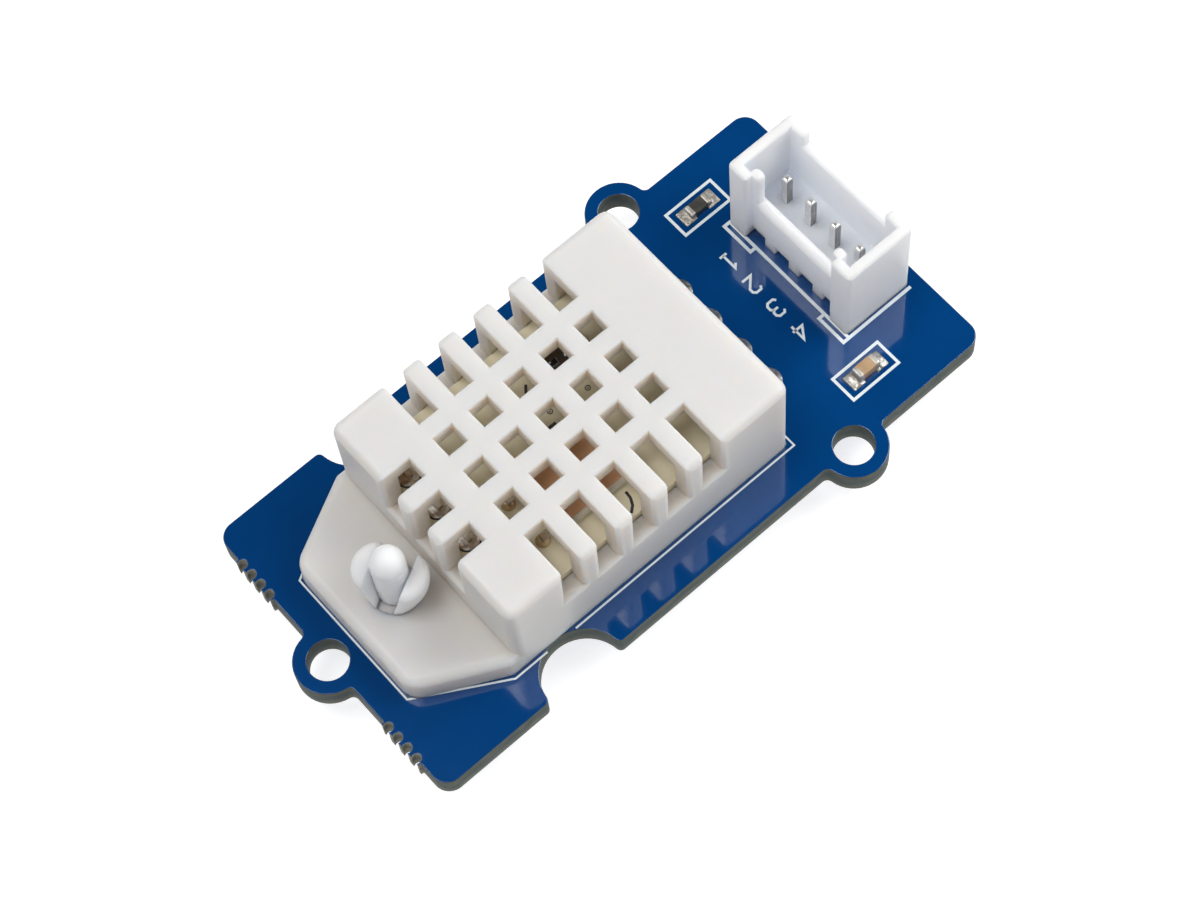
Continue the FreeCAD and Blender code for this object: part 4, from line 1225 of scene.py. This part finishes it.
# Pin numbers, read from the header's foot end of the board.
def makeDigits():
    work = bmesh.new()
    size = digitShape["height"]
    pins = [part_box(name) for name in ("connector_pin_1", "connector_pin_4")]
    first, last = [(low.y + high.y) / 2 / mm for low, high in pins]
    for index, digit in enumerate("1234"):
        y = last + (first - last) * index / 3
        for stroke in digitStrokes[digit]:
            points = [(digitShape["x"] - u * size, y + size / 2 - v * size) for u, v in stroke]
            addLine(work, points, digitShape["stroke"])
    finishPrint("pin_number_print", work)


makeInnerBoard()
makeCanPrint()
makeHeaderPrint()
makeChipPrint()
makeDigits()
print("print ready")


# Camera at the photograph's place, in metres, and its field of view
photoCamera = {
    "place": (-0.038609, -0.057474, 0.160222),
    "forward": (0.22720, 0.33212, -0.91547),
    "right": (0.75208, -0.65704, -0.05171),
    "focalPixels": 3046.5,
    "imageWidth": 1200,
}


def makeCamera():
    data = bpy.data.cameras.new("photo_camera")
    camera = addObject("photo_camera", data)
    back = -Vector(photoCamera["forward"]).normalized()
    right = Vector(photoCamera["right"]).normalized()
    up = back.cross(right)
    turn = Matrix((right, up, back)).transposed()
    camera.matrix_world = Matrix.Translation(photoCamera["place"]) @ turn.to_4x4()
    data.sensor_width = 36
    data.lens = data.sensor_width * photoCamera["focalPixels"] / photoCamera["imageWidth"]
    data.clip_start = 0.005
    data.clip_end = 20
    scene.camera = camera


# Soft boxes round the module: direction from its middle, distance and side in metres, watts
lamps = {
    "overhead": {"direction": (-0.28, 0.2, 1), "distance": 0.7, "side": 0.34, "power": 1.9},
    "header_end": {"direction": (0.75, -0.3, 0.8), "distance": 0.24, "side": 0.15, "power": 0.33},
}
worldLook = {"band": 0.8, "horizon": 0.15, "zenith": 0.01, "rise": (0.2, 0.55), "fall": (0.72, 0.84)}
floorLook = {"color": (0.5, 0.5, 0.5, 1), "lift": 0.75, "radius": 3}


def makeLamps():
    for name, look in lamps.items():
        data = bpy.data.lights.new("lamp_" + name, "AREA")
        data.shape = "SQUARE"
        data.size = look["side"]
        data.energy = look["power"]
        lamp = addObject("lamp_" + name, data)
        direction = Vector(look["direction"]).normalized()
        lamp.location = direction * look["distance"]
        lamp.rotation_mode = "QUATERNION"
        lamp.rotation_quaternion = direction.to_track_quat("Z", "Y")


# Studio sky: a soft band of light half way up, dim at the horizon and overhead.
def makeWorld():
    look = worldLook
    world = bpy.data.worlds.new("studio")
    scene.world = world
    world.use_nodes = True
    tree = world.node_tree
    height = addNode(tree, "SeparateXYZ", {0: addNode(tree, "TexCoord").outputs["Generated"]}).outputs["Z"]
    rise = addRange(tree, height, *look["rise"], look["horizon"], 1, interpolation_type="SMOOTHSTEP")
    fall = addRange(tree, height, *look["fall"], 1, 0, interpolation_type="SMOOTHSTEP")
    band = addMath(tree, "MULTIPLY", rise, fall)
    level = addMath(tree, "MULTIPLY_ADD", band, look["band"], look["zenith"])
    feed(tree, tree.nodes["Background"], {"Color": level})


# Pale floor, clear from underneath. What the camera and glossy surfaces see of it is lifted to white.
def makeFloor():
    work = bmesh.new()
    bmesh.ops.create_circle(work, cap_ends=True, segments=96, radius=floorLook["radius"])
    floor = meshPiece("floor", work)
    material, tree, shader = newMaterial("pale floor", {"Roughness": 0.9, "Base Color": floorLook["color"]})
    ray = addNode(tree, "LightPath").outputs
    seen = addMath(tree, "MAXIMUM", ray["Is Camera Ray"], ray["Is Glossy Ray"])
    seen = addMath(tree, "MAXIMUM", seen, ray["Is Transmission Ray"])
    lift = addMath(tree, "MULTIPLY", seen, floorLook["lift"])
    above = addMath(tree, "SUBTRACT", 1, addNode(tree, "NewGeometry").outputs["Backfacing"])
    feed(tree, shader, {"Emission Color": (1, 1, 1, 1), "Emission Strength": lift, "Alpha": above})
    floor.data.materials.append(material)


makeCamera()
makeLamps()
makeWorld()
makeFloor()
scene.view_settings.view_transform = "Standard"
print("studio ready")
